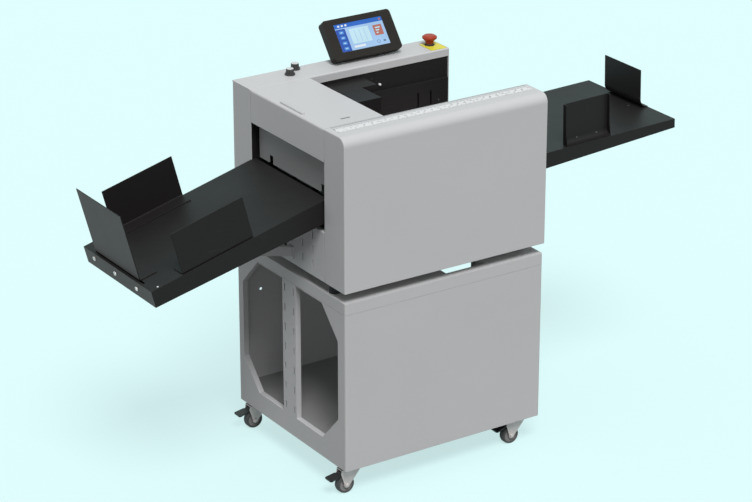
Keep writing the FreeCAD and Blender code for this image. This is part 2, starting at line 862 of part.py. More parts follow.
def feed_lid():
    """Hinged lid over the feed: top, left skirt, right lip and two inner hinge flanges."""
    top = machine_height
    corners = [(lid_length, top - lid_right_lip), (lid_length, top), (0, top), (0, top - lid_skirt)]
    skin = bent_sheet(corners, cover_sheet, lid_bend, in_xz(lid_front_y),
                      Y_AXIS * (lid_rear_y - lid_front_y))
    flanges = []
    for y in lid_flange_places():
        flanges.append(block(2 * cover_sheet + lid_bend, y, top - lid_flange,
                             lid_length - cover_sheet - lid_bend, y + cover_sheet,
                             top - cover_sheet / 2))
        flanges.append(rod(hinge_pin_radius + hinge_eye_wall, V(hinge_x, y, hinge_z),
                           Y_AXIS, cover_sheet))
    lid = fuse(skin, *flanges)
    bore = rod(hinge_pin_radius + running_clearance,
               V(hinge_x, front_plate_inner_y - 5, hinge_z), Y_AXIS, path_span + 10)
    return lid.cut(bore)


def lid_grip():
    y = path_mid_y - grip_offset - grip_length / 2
    bar = block(grip_from_edge, y, machine_height, grip_from_edge + grip_width, y + grip_length,
                machine_height + grip_height)
    top_edges = [e for e in bar.Edges if e.BoundBox.ZMin > machine_height + grip_height - 0.01]
    return bar.makeFillet(grip_rounding, top_edges + edges_along(bar, Z_AXIS))


def lid_hinge_pins():
    start_front = front_plate_inner_y - plate_sheet
    front_flange_y, rear_flange_y = lid_flange_places()
    front = rod(hinge_pin_radius, V(hinge_x, start_front, hinge_z), Y_AXIS,
                front_flange_y + cover_sheet + lid_flange_gap - start_front)
    inner_end = rear_flange_y - lid_flange_gap
    rear = rod(hinge_pin_radius, V(hinge_x, inner_end, hinge_z), Y_AXIS,
               rear_plate_inner_y + plate_sheet - inner_end)
    return Part.makeCompound([front, rear])


def infeed_gate():
    """Gate plate above the infeed tray, folded back at its top, with two notches below."""
    low = path_height + gate_gap
    high = side_plate_top - gate_below_plates
    corners = [(gate_x + gate_return, high), (gate_x, high), (gate_x, low)]
    gate = bent_sheet(corners, cover_sheet, gate_bend, in_xz(front_plate_inner_y),
                      Y_AXIS * (path_span - gate_rear_gap))
    notches = []
    half = gate_notch_width / 2
    c = gate_notch_chamfer
    x = gate_x - 1
    for offset in gate_notch_offsets:
        y = path_mid_y + offset
        outline = [(y - half - c, low - 1), (y - half - c, low), (y - half, low + c),
                   (y - half, low + gate_notch_height), (y + half, low + gate_notch_height),
                   (y + half, low + c), (y + half + c, low), (y + half + c, low - 1)]
        notches.append(prism([V(x, py, pz) for py, pz in outline], X_AXIS * (cover_sheet + 2)))
    return gate.cut(notches)


def head_cover():
    """Stepped guard over the creasing head, with flanges down its two open sides."""
    top = head_cover_top
    s = cover_sheet
    back = rear_plate_inner_y
    front = back - head_cover_reach
    step = back - head_cover_step_reach
    outline = [(head_cover_start_x, front), (head_cover_end_x, front), (head_cover_end_x, step),
               (head_cover_step_x, step), (head_cover_step_x, back), (head_cover_start_x, back)]
    plate = prism([V(x, y, top - s) for x, y in outline], Z_AXIS * s)
    front_flange = block(head_cover_start_x, front, top - head_cover_flange,
                         head_cover_end_x, front + s, top)
    side_flange = block(head_cover_end_x - s, front, top - head_cover_flange,
                        head_cover_end_x, step, top)
    return fuse(plate, front_flange, side_flange)


def well_rear_panel():
    """Folded panel on the rear wall of the well, with two upright slots."""
    s = cover_sheet
    back = rear_plate_inner_y
    face = back - well_panel_proud
    start = head_cover_step_x
    end = machine_length - well_panel_right_gap
    top = machine_height - well_panel_drop
    outer = block(start, face, table_top, end, back, top)
    inner = block(start + s, face + s, table_top - 1, end - s, back + 1, top - s)
    slots = []
    low = table_top + well_slot_above_table
    high = top - well_slot_below_top
    for from_right in well_slots_from_right:
        x = machine_length - from_right
        slots.append(block(x - well_slot_width / 2, face - 1, low,
                           x + well_slot_width / 2, face + s + 1, high))
    return outer.cut([inner] + slots)


def delivery_table():
    """Table that carries the creased sheet out, folded down at the delivery end."""
    corners = [(machine_length, end_panel_height), (machine_length, table_top), (table_start_x, table_top)]
    table = bent_sheet(corners, table_sheet, table_bend, in_xz(front_plate_inner_y), Y_AXIS * path_span)
    cover_edge = block(machine_length - cover_sheet - table_bend - table_sheet, deck_front_y,
                       end_panel_height - 1, machine_length + 1, rear_plate_inner_y + 1, table_top + 1)
    return table.cut(cover_edge)


# ---- Creasing tools and drive ----
def blade_bottom():
    """Underside of the blade holder with the blade open."""
    return path_height + crease_travel - blade_dip + blade_depth


def crease_anvil():
    half = anvil_width / 2
    top = path_height - roller_gap
    bar = block(crease_x - half, front_plate_inner_y, top - anvil_height,
                crease_x + half, rear_plate_inner_y, top)
    groove = block(crease_x - anvil_groove_width / 2, front_plate_inner_y - 1, top - anvil_groove_depth,
                   crease_x + anvil_groove_width / 2, rear_plate_inner_y + 1, top + 1)
    return bar.cut(groove)


def crease_blade():
    """Blade in its holder bar, with guide tongues at both ends and pads under the cams."""
    half = blade_holder_width / 2
    low = blade_bottom()
    high = low + blade_holder_height
    front = front_plate_inner_y
    back = rear_plate_inner_y
    gap = blade_end_gap
    reach = plate_sheet + blade_tongue_reach
    inset = blade_tongue_inset
    bar = block(crease_x - half, front + gap, low, crease_x + half, back - gap, high)
    tongue = block(crease_x - half, front - reach, low + inset,
                   crease_x + half, back + reach, high - inset)
    blade = block(crease_x - blade_thickness / 2, front + 2 * gap, low - blade_depth,
                  crease_x + blade_thickness / 2, back - 2 * gap, low + 1)
    pad_top = cam_height - cam_radius - follower_gap
    pad_half = half - cam_pad_inset
    pads = []
    for y in cam_starts():
        pads.append(block(crease_x - pad_half, y - cam_pad_margin, high - 1, crease_x + pad_half,
                          y + cam_width + cam_pad_margin, pad_top))
    return fuse(bar, tongue, blade, *pads)


def cam_starts():
    return (front_plate_inner_y + cam_from_plate, rear_plate_inner_y - cam_from_plate - cam_width)


def cam_disc(y):
    """Cam whose radius grows evenly over half a turn and falls back over the other half."""
    steps = 12
    lobes = []
    for first, last in ((0, 1), (1, 0)):
        points = []
        for i in range(steps + 1):
            share = i / steps
            radius = cam_radius + crease_travel * (first + (last - first) * share)
            angle = math.pi * (share + (0 if last else 1))
            points.append(V(crease_x + radius * math.sin(angle), y, cam_height - radius * math.cos(angle)))
        curve = Part.BSplineCurve()
        curve.interpolate(points)
        lobes.append(curve.toShape())
    return Part.Face(Part.Wire(lobes)).extrude(Y_AXIS * cam_width)


def cam_shaft():
    start = front_plate_inner_y - plate_sheet - shaft_end_reach
    end = rear_plate_inner_y + plate_sheet + shaft_end_reach
    shaft = rod(shaft_radius, V(crease_x, start, cam_height), Y_AXIS, end - start)
    return fuse(shaft, *[cam_disc(y) for y in cam_starts()])


def involute_point(base, radius):
    """Polar angle at which the involute of a base circle reaches a radius."""
    pressure = math.acos(min(1.0, base / radius))
    return math.tan(pressure) - pressure


def gear(centre, tooth_angle):
    """Spur gear with involute flanks; one tooth points along tooth_angle in the XZ plane."""
    pitch = gear_module * gear_teeth / 2
    base = pitch * math.cos(math.radians(20))
    tip = pitch + gear_module
    root = pitch - 1.25 * gear_module
    half_tooth = math.pi / (2 * gear_teeth) - gear_backlash / (2 * pitch)
    at_pitch = involute_point(base, pitch)
    radii = (max(base, root), pitch, tip)
    half_angles = [half_tooth + at_pitch - involute_point(base, r) for r in radii]

    def at(radius, angle):
        return V(centre.x + radius * math.cos(angle), centre.y, centre.z + radius * math.sin(angle))

    edges = []
    step = 2 * math.pi / gear_teeth
    for i in range(gear_teeth):
        middle = tooth_angle + i * step
        rise = [at(r, middle - h) for r, h in zip(radii, half_angles)]
        fall = [at(r, middle + h) for r, h in zip(radii, half_angles)]
        foot = at(root, middle - half_angles[0])
        foot_end = at(root, middle + half_angles[0])
        next_foot = at(root, middle + step - half_angles[0])
        edges.append(Part.makeLine(foot, rise[0]))
        edges.append(Part.Arc(rise[0], rise[1], rise[2]).toShape())
        edges.append(Part.makeLine(rise[2], fall[2]))
        edges.append(Part.Arc(fall[2], fall[1], fall[0]).toShape())
        edges.append(Part.makeLine(fall[0], foot_end))
        edges.append(Part.makeLine(foot_end, next_foot))
    return Part.Face(Part.Wire(edges)).extrude(Y_AXIS * gear_width)


def feed_roller(upper):
    """Shaft with three rubber sleeves and a gear; the lower one also has the belt pulley."""
    z = upper_roller_z if upper else lower_roller_z
    start = front_plate_inner_y - plate_sheet - shaft_end_reach
    end = gear_y + gear_width if upper else pulley_end()
    shaft = rod(shaft_radius, V(feed_x, start, z), Y_AXIS, end - start)
    pieces = []
    for i in (-1, 0, 1):
        y = path_mid_y + i * roller_sleeve_pitch - roller_sleeve_length / 2
        pieces.append(rod(roller_radius, V(feed_x, y, z), Y_AXIS, roller_sleeve_length))
    gap = math.pi / gear_teeth
    tooth_angle = -math.pi / 2 + gap if upper else math.pi / 2
    pieces.append(gear(V(feed_x, gear_y, z), tooth_angle))
    if not upper:
        pieces.extend(pulley(feed_x, z, roller_pulley_radius))
    return fuse(shaft, *pieces)


def pulley_end():
    """Outer face of the pulleys: the belt's width between two flanges."""
    return pulley_y + belt_width + 2 * pulley_flange_sheet


def pulley(x, z, radius):
    """Belt pulley between two thin flanges."""
    sheet = pulley_flange_sheet
    rim = rod(radius, V(x, pulley_y, z), Y_AXIS, belt_width + 2 * sheet)
    sides = []
    for y in (pulley_y, pulley_end() - sheet):
        sides.append(rod(radius + pulley_flange, V(x, y, z), Y_AXIS, sheet))
    return [rim] + sides


def motor_pulley():
    end = pulley_end()
    start = rear_plate_inner_y - motor_shaft_depth
    shaft = rod(motor_shaft_radius, V(feed_x, start, motor_height), Y_AXIS, end - start)
    return fuse(shaft, *pulley(feed_x, motor_height, motor_pulley_radius))


def drive_motor():
    half = motor_size / 2
    back = rear_plate_inner_y
    body = rounded_block(feed_x - half, back - motor_length, motor_height - half,
                         feed_x + half, back, motor_height + half, motor_corner_radius, Y_AXIS)
    bore = rod(motor_shaft_radius + running_clearance,
               V(feed_x, back - motor_bore_depth, motor_height), Y_AXIS, motor_bore_depth + 1)
    return body.cut(bore)


def belt_loop(extra):
    """Face of the loop around both pulleys, at some distance outside their rims."""
    small = motor_pulley_radius + extra
    big = roller_pulley_radius + extra
    span = lower_roller_z - motor_height
    tilt = math.asin((big - small) / span)
    y = pulley_y + pulley_flange_sheet + belt_side_gap

    def at(z, radius, angle):
        return V(feed_x + radius * math.cos(angle), y, z + radius * math.sin(angle))

    low_right = at(motor_height, small, -tilt)
    low_left = at(motor_height, small, math.pi + tilt)
    high_right = at(lower_roller_z, big, -tilt)
    high_left = at(lower_roller_z, big, math.pi + tilt)
    edges = [Part.Arc(low_right, at(motor_height, small, -math.pi / 2), low_left).toShape(),
             Part.makeLine(low_left, high_left),
             Part.Arc(high_left, at(lower_roller_z, big, math.pi / 2), high_right).toShape(),
             Part.makeLine(high_right, low_right)]
    return Part.Face(Part.Wire(edges))


def drive_belt():
    width = Y_AXIS * (belt_width - 2 * belt_side_gap)
    outer = belt_loop(belt_gap + belt_thickness).extrude(width)
    return outer.cut(belt_loop(belt_gap).extrude(width))


# ---- Infeed tray: drawn level with its top at z = 0, then tilted ----
def on_infeed(solid):
    solid.rotate(V(0, 0, 0), Y_AXIS, -infeed_slope)
    solid.translate(V(0, 0, infeed_height))
    return solid


def infeed_side(y):
    """Tapered side flange of the infeed tray; its inner end stands inside the mouth."""
    end = -infeed_length
    inner = infeed_entry / 2
    return prism([V(end, y, 0), V(end, y, -infeed_end_flange), V(0, y, -infeed_entry_flange),
                  V(inner, y, -infeed_entry_flange), V(inner, y, 0)], Y_AXIS * tray_sheet)


def infeed_tray():
    """Sloping tray: a pan turned over, with a slot across its end over a closed channel."""
    y0 = front_plate_inner_y + tray_side_gap
    y1 = rear_plate_inner_y - tray_side_gap
    end = -infeed_length
    top = block(end, y0, -tray_sheet, infeed_entry, y1, 0)
    front = infeed_side(y0)
    rear = infeed_side(y1 - tray_sheet)
    end_flange = block(end, y0, -infeed_end_flange, end + tray_sheet, y1, 0)
    floor = -tray_channel_depth
    far = end + tray_channel_width
    channel_floor = block(end, y0, floor, far, y1, floor + tray_sheet)
    channel_side = block(far - tray_sheet, y0, floor, far, y1, 0)
    tray = fuse(top, front, rear, end_flange, channel_floor, channel_side)
    slot_x = end + tray_slot_from_end
    slot = block(slot_x - tray_slot_width, path_mid_y - tray_slot_length / 2, -tray_sheet - 1,
                 slot_x, path_mid_y + tray_slot_length / 2, 1)
    tray = on_infeed(tray.cut(slot))
    cover_notch = block(-tray_side_gap, deck_front_y - tray_side_gap, 0,
                        infeed_entry + infeed_entry_flange, rear_plate_inner_y, machine_height)
    return tray.cut(cover_notch)


def infeed_arms():
    """Two bent arms that carry the infeed tray from the lower end panel."""
    arms = []
    tilt = math.tan(infeed_slope_rad)
    for offset in arm_offsets:
        y = path_mid_y + offset

        def under(x):
            return infeed_height + x * tilt - tray_sheet / math.cos(infeed_slope_rad)

        far = arm_tray_reach
        low = arm_height
        outline = [(0, low), (-arm_reach, low + arm_rise), (-far - arm_width, under(-far - arm_width)),
                   (-far, under(-far)), (-arm_reach + 4, low + arm_rise + arm_width),
                   (0, low + arm_width)]
        arm = prism([V(x, y, z) for x, z in outline], Y_AXIS * arm_sheet)
        half = arm_foot_width / 2
        foot = block(-arm_sheet, y - half + arm_sheet, low - arm_foot_margin,
                     0, y + half, low + arm_width + arm_foot_margin)
        rest = block(-(far + arm_width) / math.cos(infeed_slope_rad), y, -tray_sheet - arm_sheet,
                     -far / math.cos(infeed_slope_rad), y + arm_foot_width, -tray_sheet)
        arms.append(fuse(arm, foot, on_infeed(rest)))
    return Part.makeCompound(arms)


def infeed_stop():
    """End stop of the infeed tray: upright plate with a flat foot towards the machine."""
    x = -infeed_length + stop_from_end
    lift = guide_foot_lift
    y = path_mid_y + stop_offset - stop_width / 2
    corners = [(x, stop_height), (x, lift), (x + stop_foot, lift)]
    plate = bent_sheet(corners, guide_sheet, guide_bend, in_xz(y), Y_AXIS * stop_width)
    return on_infeed(plate)


def infeed_guide(rear):
    """Side guide of the infeed tray: upright plate with a flat foot towards the middle."""
    x = -infeed_length + (rear_guide_from_end if rear else front_guide_from_end)
    lift = guide_foot_lift
    if rear:
        wall = rear_plate_inner_y - tray_side_gap - rear_guide_inset
        corners = [(wall - guide_foot, lift), (wall, lift), (wall, guide_height)]
    else:
        wall = front_plate_inner_y + tray_side_gap + front_guide_inset
        corners = [(wall, guide_height), (wall, lift), (wall + guide_foot, lift)]
    plate = bent_sheet(corners, guide_sheet, guide_bend, in_yz(x), X_AXIS * guide_length)
    return on_infeed(plate)


# ---- Outfeed tray: drawn level with its top at z = 0 and its inner end at x = 0, then tilted ----
def on_outfeed(solid):
    solid.rotate(V(0, 0, 0), Y_AXIS, -outfeed_slope)
    solid.translate(V(machine_length, 0, outfeed_height))
    return solid


def outfeed_tray():
    """Delivery tray: a pan turned over, deeper at the machine than at its end."""
    start = outfeed_entry_flange * math.tan(outfeed_slope_rad)
    x1 = outfeed_length
    y0 = outfeed_mid_y - outfeed_width / 2
    y1 = y0 + outfeed_width
    t = tray_sheet
    top = block(0, y0, -t, x1, y1, 0)
    sides = []
    for y in (y0, y1 - t):
        sides.append(prism([V(0, y, 0), V(x1, y, 0), V(x1, y, -outfeed_end_flange),
                            V(start, y, -outfeed_entry_flange)], Y_AXIS * t))
    end_flange = block(x1 - t, y0, -outfeed_end_flange, x1, y1, 0)
    root_flange = prism([V(0, y0, 0), V(t, y0, 0), V(start + t, y0, -outfeed_entry_flange),
                         V(start, y0, -outfeed_entry_flange)], Y_AXIS * outfeed_width)
    return on_outfeed(fuse(top, end_flange, root_flange, *sides))


def outfeed_stop():
    """End stop of the delivery tray, curved into a foot towards the tray's end."""
    x = outfeed_length - outfeed_stop_from_end
    z = guide_foot_lift
    y = outfeed_mid_y + outfeed_stop_offset - outfeed_stop_width / 2
    corners = [(x, z + outfeed_stop_height), (x, z), (x + outfeed_stop_foot, z)]
    stop = bent_sheet(corners, guide_sheet, outfeed_stop_bend, in_xz(y), Y_AXIS * outfeed_stop_width)
    return on_outfeed(stop)


def outfeed_guide():
    """Front side guide: a wall curved into a foot, with a flange that flares down each end."""
    x0 = outfeed_guide_from_machine
    x1 = x0 + outfeed_guide_length
    z = guide_foot_lift
    high = z + outfeed_guide_height
    front = outfeed_mid_y - outfeed_width / 2 + outfeed_guide_from_edge
    wall = front + outfeed_guide_foot
    corners = [(front, z), (wall, z), (wall, high)]
    guide = bent_sheet(corners, guide_sheet, outfeed_guide_bend, in_yz(x0), X_AXIS * outfeed_guide_length)
    edge = wall - outfeed_guide_flange
    flare = z + 2 * outfeed_guide_foot
    flanges = []
    for x in (x0, x1 - guide_sheet):
        outline = [V(x, front, z), V(x, wall, z), V(x, wall, high), V(x, edge, high), V(x, edge, flare)]
        flanges.append(prism(outline, X_AXIS * guide_sheet))
    return on_outfeed(fuse(guide, *flanges))


# ---- Touch screen: drawn upright with its face in the plane y = 0, then leaned back ----
def screen_base():
    """Lowest line of the leaning screen: its back lower edge stays clear of the deck."""
    drop = screen_frame_depth * math.sin(screen_lean_rad)
    return V(0, machine_depth - screen_foot_from_rear, machine_height + screen_deck_gap + drop)


def lean_back(solid):
    solid.rotate(V(0, 0, 0), X_AXIS, -screen_lean)
    solid.translate(screen_base())
    return solid


def screen_pivot():
    """Where the tilt pin lies, in the machine's own frame."""
    point = V(0, screen_pivot_back, screen_pivot_up)
    turned_point = FreeCAD.Rotation(X_AXIS, -screen_lean).multVec(point)
    return turned_point + screen_base()


def screen_middle_x():
    return screen_start_x + screen_width / 2


def upright_rectangle(x0, x1, y, z0, z1):
    return Part.makePolygon([V(x0, y, z0), V(x1, y, z0), V(x1, y, z1), V(x0, y, z1), V(x0, y, z0)])


def screen_housing():
    """Front frame with a display window, and a tapered back slotted for the mount's ears."""
    x0 = screen_start_x
    x1 = x0 + screen_width
    top = screen_face_height
    frame = block(x0, 0, 0, x1, screen_frame_depth, top)
    frame = frame.makeFillet(screen_corner, edges_along(frame, Y_AXIS))
    inset = screen_back_inset
    edge = screen_corner
    back = Part.makeLoft(
        [upright_rectangle(x0 + edge, x1 - edge, screen_frame_depth - 1, edge, top - edge),
         upright_rectangle(x0 + inset, x1 - inset, screen_back_depth, inset, top - inset)], True, True)
    tools = [display_block(-1)]
    middle = screen_middle_x()
    reach = screen_ear_spacing / 2
    sweep = screen_ear_radius + screen_ear_clearance
    for side in (-1, 1):
        start = middle + (reach if side > 0 else -reach - screen_ear_sheet)
        tools.append(block(start - screen_ear_gap, screen_pivot_back - sweep, -1,
                           start + screen_ear_sheet + screen_ear_gap, screen_back_depth + 1,
                           screen_pivot_up + sweep))
    tools.append(rod(screen_pin_radius + running_clearance,
                     V(middle - reach, screen_pivot_back, screen_pivot_up), X_AXIS, 2 * reach))
    return lean_back(fuse(frame, back).cut(tools))


def display_block(face_y):
    """Space behind the bezel that the display pane fills, from a front plane inwards."""
    x = screen_middle_x() - display_width / 2
    z = (screen_face_height - display_height) / 2 + display_rise
    return block(x, face_y, z, x + display_width, display_back, z + display_height)


def screen_glass():
    return lean_back(display_block(display_recess))


def screen_mount():
    """Foot on the deck with two ears and the tilt pin between them."""
    pivot = screen_pivot()
    middle = screen_middle_x()
    outer = screen_ear_spacing / 2 + screen_ear_sheet
    half_foot = outer + screen_foot_margin
    y1 = min(pivot.y + screen_foot_depth / 2, rear_y - cover_sheet)
    y0 = y1 - screen_foot_depth
    deck = machine_height
    foot = rounded_block(middle - half_foot, y0, deck, middle + half_foot, y1,
                         deck + screen_foot_sheet, screen_foot_corner)
    pieces = []
    for start in (middle - outer, middle + outer - screen_ear_sheet):
        ear = prism([V(start, y0 + screen_foot_corner, deck + 1),
                     V(start, y1 - screen_foot_corner, deck + 1),
                     V(start, pivot.y + screen_ear_radius, pivot.z),
                     V(start, pivot.y - screen_ear_radius, pivot.z)], X_AXIS * screen_ear_sheet)
        pieces.append(ear)
        pieces.append(rod(screen_ear_radius, V(start, pivot.y, pivot.z), X_AXIS, screen_ear_sheet))
    pieces.append(rod(screen_pin_radius, V(middle - outer, pivot.y, pivot.z), X_AXIS, 2 * outer))
    return fuse(foot, *pieces)


# ---- Controls ----
def estop_plate():
    x = machine_length - estop_plate_from_right
    y = machine_depth - estop_plate_from_rear
    plate = rounded_block(x - estop_plate_x / 2, y - estop_plate_y / 2, machine_height,
                          x + estop_plate_x / 2, y + estop_plate_y / 2,
                          machine_height + estop_plate_sheet, estop_plate_corner)
    return plate.cut(rod(estop_stem_radius + running_clearance,
                         V(estop_x, estop_y, machine_height - 1), Z_AXIS, estop_plate_sheet + 2))


def estop_neck_top():
    return machine_height + estop_plate_sheet + estop_neck


def estop_plunger():
    """Stem that slides in the deck, with a spigot on which the red head turns."""
    low = machine_height - estop_stem_low
    top = estop_neck_top()
    stem = rod(estop_stem_radius, V(estop_x, estop_y, low), Z_AXIS, top - low)
    spigot = rod(estop_spigot_radius, V(estop_x, estop_y, top - 1), Z_AXIS, estop_spigot_length + 1)
    return fuse(stem, spigot)


def estop_head():
    """Mushroom head: flared from the neck to a domed top, bored for the stem's spigot."""
    r = estop_head_radius
    h = estop_head_height
    neck = estop_stem_radius
    profile = [(0, 0), (neck, 0), (neck + 1, h * 0.25), (r, h * 0.6), (r, h * 0.78),
               (r * 0.75, h * 0.95), (0, h)]
    base = V(estop_x, estop_y, estop_neck_top() + estop_head_gap)
    head = turned(profile, base, Z_AXIS)
    bore = rod(estop_spigot_radius + running_clearance, base - Z_AXIS, Z_AXIS,
               estop_spigot_length + 2)
    return head.cut(bore)


def knob(place):
    """Turn knob: a fluted grip on a wider skirt, with a spindle through the deck."""
    x, y = place
    low = machine_height + knob_deck_gap
    grip_low = low + knob_skirt_height
    skirt = rod(knob_radius, V(x, y, low), Z_AXIS, knob_skirt_height)
    grip = Part.makeCone(knob_grip_radius, knob_grip_radius - knob_grip_taper,
                         knob_height - knob_skirt_height, V(x, y, grip_low), Z_AXIS)
    spindle = rod(knob_spindle_radius, V(x, y, low - knob_spindle_low), Z_AXIS, knob_spindle_low + 1)
    flutes = []
    for i in range(knob_flute_count):
        angle = 2 * math.pi * i / knob_flute_count
        centre = V(x + knob_flute_reach * math.cos(angle), y + knob_flute_reach * math.sin(angle), grip_low)
        flutes.append(rod(knob_flute_radius, centre, Z_AXIS, knob_height))
    return fuse(grip.cut(flutes), skirt, spindle)


def socket_centre():
    return V(inlet_x, rear_y + inlet_flange, inlet_height - inlet_tall / 2 + socket_rise)


def power_inlet():
    """Inlet module on the rear cover: flange, body, three-pin socket and rocker well."""
    x0 = inlet_x - inlet_width / 2
    z0 = inlet_height - inlet_tall / 2
    body = block(x0, rear_y - inlet_depth, z0, x0 + inlet_width, rear_y, z0 + inlet_tall)
    side = inlet_flange_side
    over = inlet_flange_end
    flange = rounded_block(x0 - side, rear_y, z0 - over, x0 + inlet_width + side,
                           rear_y + inlet_flange, z0 + inlet_tall + over, over, Y_AXIS)
    face = rear_y + inlet_flange
    socket_z = socket_centre().z
    w = socket_width / 2
    h = socket_tall / 2
    c = socket_corner
    outline = [(-w, -h), (w, -h), (w, h - c), (w - c, h), (c - w, h), (-w, h - c)]
    cavity = prism([V(inlet_x + dx, face + 1, socket_z + dz) for dx, dz in outline],
                   Y_AXIS * -(socket_depth + 1))
    pins = []
    for dx, dz in socket_pin_places:
        x = inlet_x + dx - socket_pin / 2
        z = socket_z + dz - socket_pin_tall / 2
        pins.append(block(x, face - socket_depth - 1, z, x + socket_pin, face - socket_pin_inset,
                          z + socket_pin_tall))
    rocker = rocker_centre()
    half_w = rocker_width / 2 + rocker_clearance
    half_h = rocker_tall / 2 + rocker_end_clearance
    rocker_well = block(inlet_x - half_w, rocker.y - rocker_well_depth, rocker.z - half_h,
                        inlet_x + half_w, face + 1, rocker.z + half_h)
    pin_half = rocker_width / 2 + rocker_pin_reach + 0.3
    trunnions = rod(rocker_pin_radius + running_clearance, V(inlet_x - pin_half, rocker.y, rocker.z),
                    X_AXIS, 2 * pin_half)
    return fuse(fuse(body, flange).cut([cavity, rocker_well, trunnions]), *pins)


def rocker_centre():
    return V(inlet_x, rear_y + inlet_flange - rocker_recess,
             inlet_height + inlet_tall / 2 - rocker_from_top)


def power_switch():
    """Rocker with a shallow V face, resting on its off side."""
    c = rocker_centre()
    half = rocker_tall / 2
    w = rocker_width / 2
    outline = [(half, 7.0), (0, 5.8), (-half, 7.0), (-half + 3, -3.0), (half - 3, -3.0)]
    body = prism([V(c.x - w, c.y + y, c.z + z) for z, y in outline], X_AXIS * rocker_width)
    pin_half = w + rocker_pin_reach
    pin = rod(rocker_pin_radius, V(c.x - pin_half, c.y, c.z), X_AXIS, 2 * pin_half)
    rocker = fuse(body, pin)
    rocker.rotate(c, X_AXIS, rocker_swing / 2)
    return rocker


def build():
    """Every named piece, drawn from the machine's front left bottom corner."""
    left_frame = stand_side_frame()
    pieces = {
        "stand_top_plate": stand_top_plate(),
        "stand_front_panel": stand_panel(False),
        "stand_rear_panel": stand_panel(True),
        "stand_left_frame": left_frame,
        "stand_right_frame": mirrored_across(left_frame, machine_length / 2),
        "stand_base_plate": stand_base_plate(),
        "caster_plates": caster_plates(),
        "machine_feet": machine_feet(),
        "chassis_tray": chassis_tray(),
        "front_cover": front_cover(),
        "rear_cover": rear_cover(),
        "top_deck": top_deck(),
        "lower_end_panels": lower_end_panels(),
        "front_side_plate": side_plate(True),
        "rear_side_plate": side_plate(False),
        "feed_lid": feed_lid(),
        "lid_grip": lid_grip(),
        "lid_hinge_pins": lid_hinge_pins(),
        "infeed_gate": infeed_gate(),
        "head_cover": head_cover(),
        "well_rear_panel": well_rear_panel(),
        "delivery_table": delivery_table(),
        "crease_anvil": crease_anvil(),
        "crease_blade": crease_blade(),
        "cam_shaft": cam_shaft(),
        "feed_roller_lower": feed_roller(False),
        "feed_roller_upper": feed_roller(True),
        "drive_motor": drive_motor(),
        "motor_pulley": motor_pulley(),
        "drive_belt": drive_belt(),
        "infeed_tray": infeed_tray(),
        "infeed_arms": infeed_arms(),
        "infeed_stop": infeed_stop(),
        "infeed_guide_front": infeed_guide(False),
        "infeed_guide_rear": infeed_guide(True),
        "outfeed_tray": outfeed_tray(),
        "outfeed_stop": outfeed_stop(),
        "outfeed_guide": outfeed_guide(),
        "screen_mount": screen_mount(),
        "screen_housing": screen_housing(),
        "screen_glass": screen_glass(),
        "estop_plate": estop_plate(),
        "estop_plunger": estop_plunger(),
        "estop_head": estop_head(),
        "knob_front": knob(knob_places[0]),
        "knob_rear": knob(knob_places[1]),
        "power_inlet": power_inlet(),
        "power_switch": power_switch(),
    }
    for name, (x, y) in caster_centres().items():
        pieces["caster_fork_" + name] = caster_fork(x, y)
        pieces["caster_wheel_" + name] = caster_wheel(x, y)
        pieces["caster_pedal_" + name] = caster_pedal(x, y)
    return pieces


def frame_offset(pieces):
    """Move that puts the origin at the bottom centre of the whole outline."""
    left = pieces["infeed_stop"].BoundBox.XMin
    right = pieces["outfeed_tray"].BoundBox.XMax
    front = 0.0
    rear = pieces["screen_housing"].BoundBox.YMax
    return V(-(left + right) / 2, -(front + rear) / 2, -floor_z)


pieces = build()
offset = frame_offset(pieces)
os.makedirs("parts", exist_ok=True)
for name, shape in pieces.items():
    shape.translate(offset)
    shape.exportStep("parts/" + name + ".step")
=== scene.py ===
import json
import math
from itertools import product

import bpy
from mathutils import Matrix, Vector


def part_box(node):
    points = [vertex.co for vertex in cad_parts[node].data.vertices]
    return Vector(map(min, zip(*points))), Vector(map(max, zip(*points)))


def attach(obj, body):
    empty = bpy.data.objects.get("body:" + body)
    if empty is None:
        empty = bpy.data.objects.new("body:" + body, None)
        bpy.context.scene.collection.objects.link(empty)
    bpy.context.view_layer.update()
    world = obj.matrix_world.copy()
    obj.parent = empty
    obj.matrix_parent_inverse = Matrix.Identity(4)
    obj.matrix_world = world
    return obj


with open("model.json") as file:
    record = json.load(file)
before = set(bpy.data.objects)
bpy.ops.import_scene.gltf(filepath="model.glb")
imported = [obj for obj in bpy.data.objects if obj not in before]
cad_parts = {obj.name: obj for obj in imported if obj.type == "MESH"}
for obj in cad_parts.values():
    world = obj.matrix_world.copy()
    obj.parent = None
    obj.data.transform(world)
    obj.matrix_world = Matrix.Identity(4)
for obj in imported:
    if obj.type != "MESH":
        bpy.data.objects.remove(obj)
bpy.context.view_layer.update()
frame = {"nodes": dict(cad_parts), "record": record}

# Paper creasing machine on a wheeled stand: its finishes, small fasteners, the printed scale and
# the page on the touch screen. Lengths are in metres. Only at() and on_tray() take millimetres.

nodes = frame["nodes"]
body_of = {
    name: body
    for body, names in frame["record"]["behaviour"]["bodies"].items()
    for name in names
}

MM = 0.001
INCH = 25.4 * MM
CASTERS = ("fl", "fr", "rl", "rr")

LEFT = Vector((-1, 0, 0))
RIGHT = Vector((1, 0, 0))
FRONT = Vector((0, -1, 0))
BACK = Vector((0, 1, 0))
DOWN = Vector((0, 0, -1))

cover_low, cover_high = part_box("front_cover")
CORNER = Vector(cover_low)
MACHINE_TOP = cover_high.z


def at(x, y, z):
    """A place in millimetres from the machine's front left bottom corner."""
    return CORNER + Vector((x, y, z)) * MM


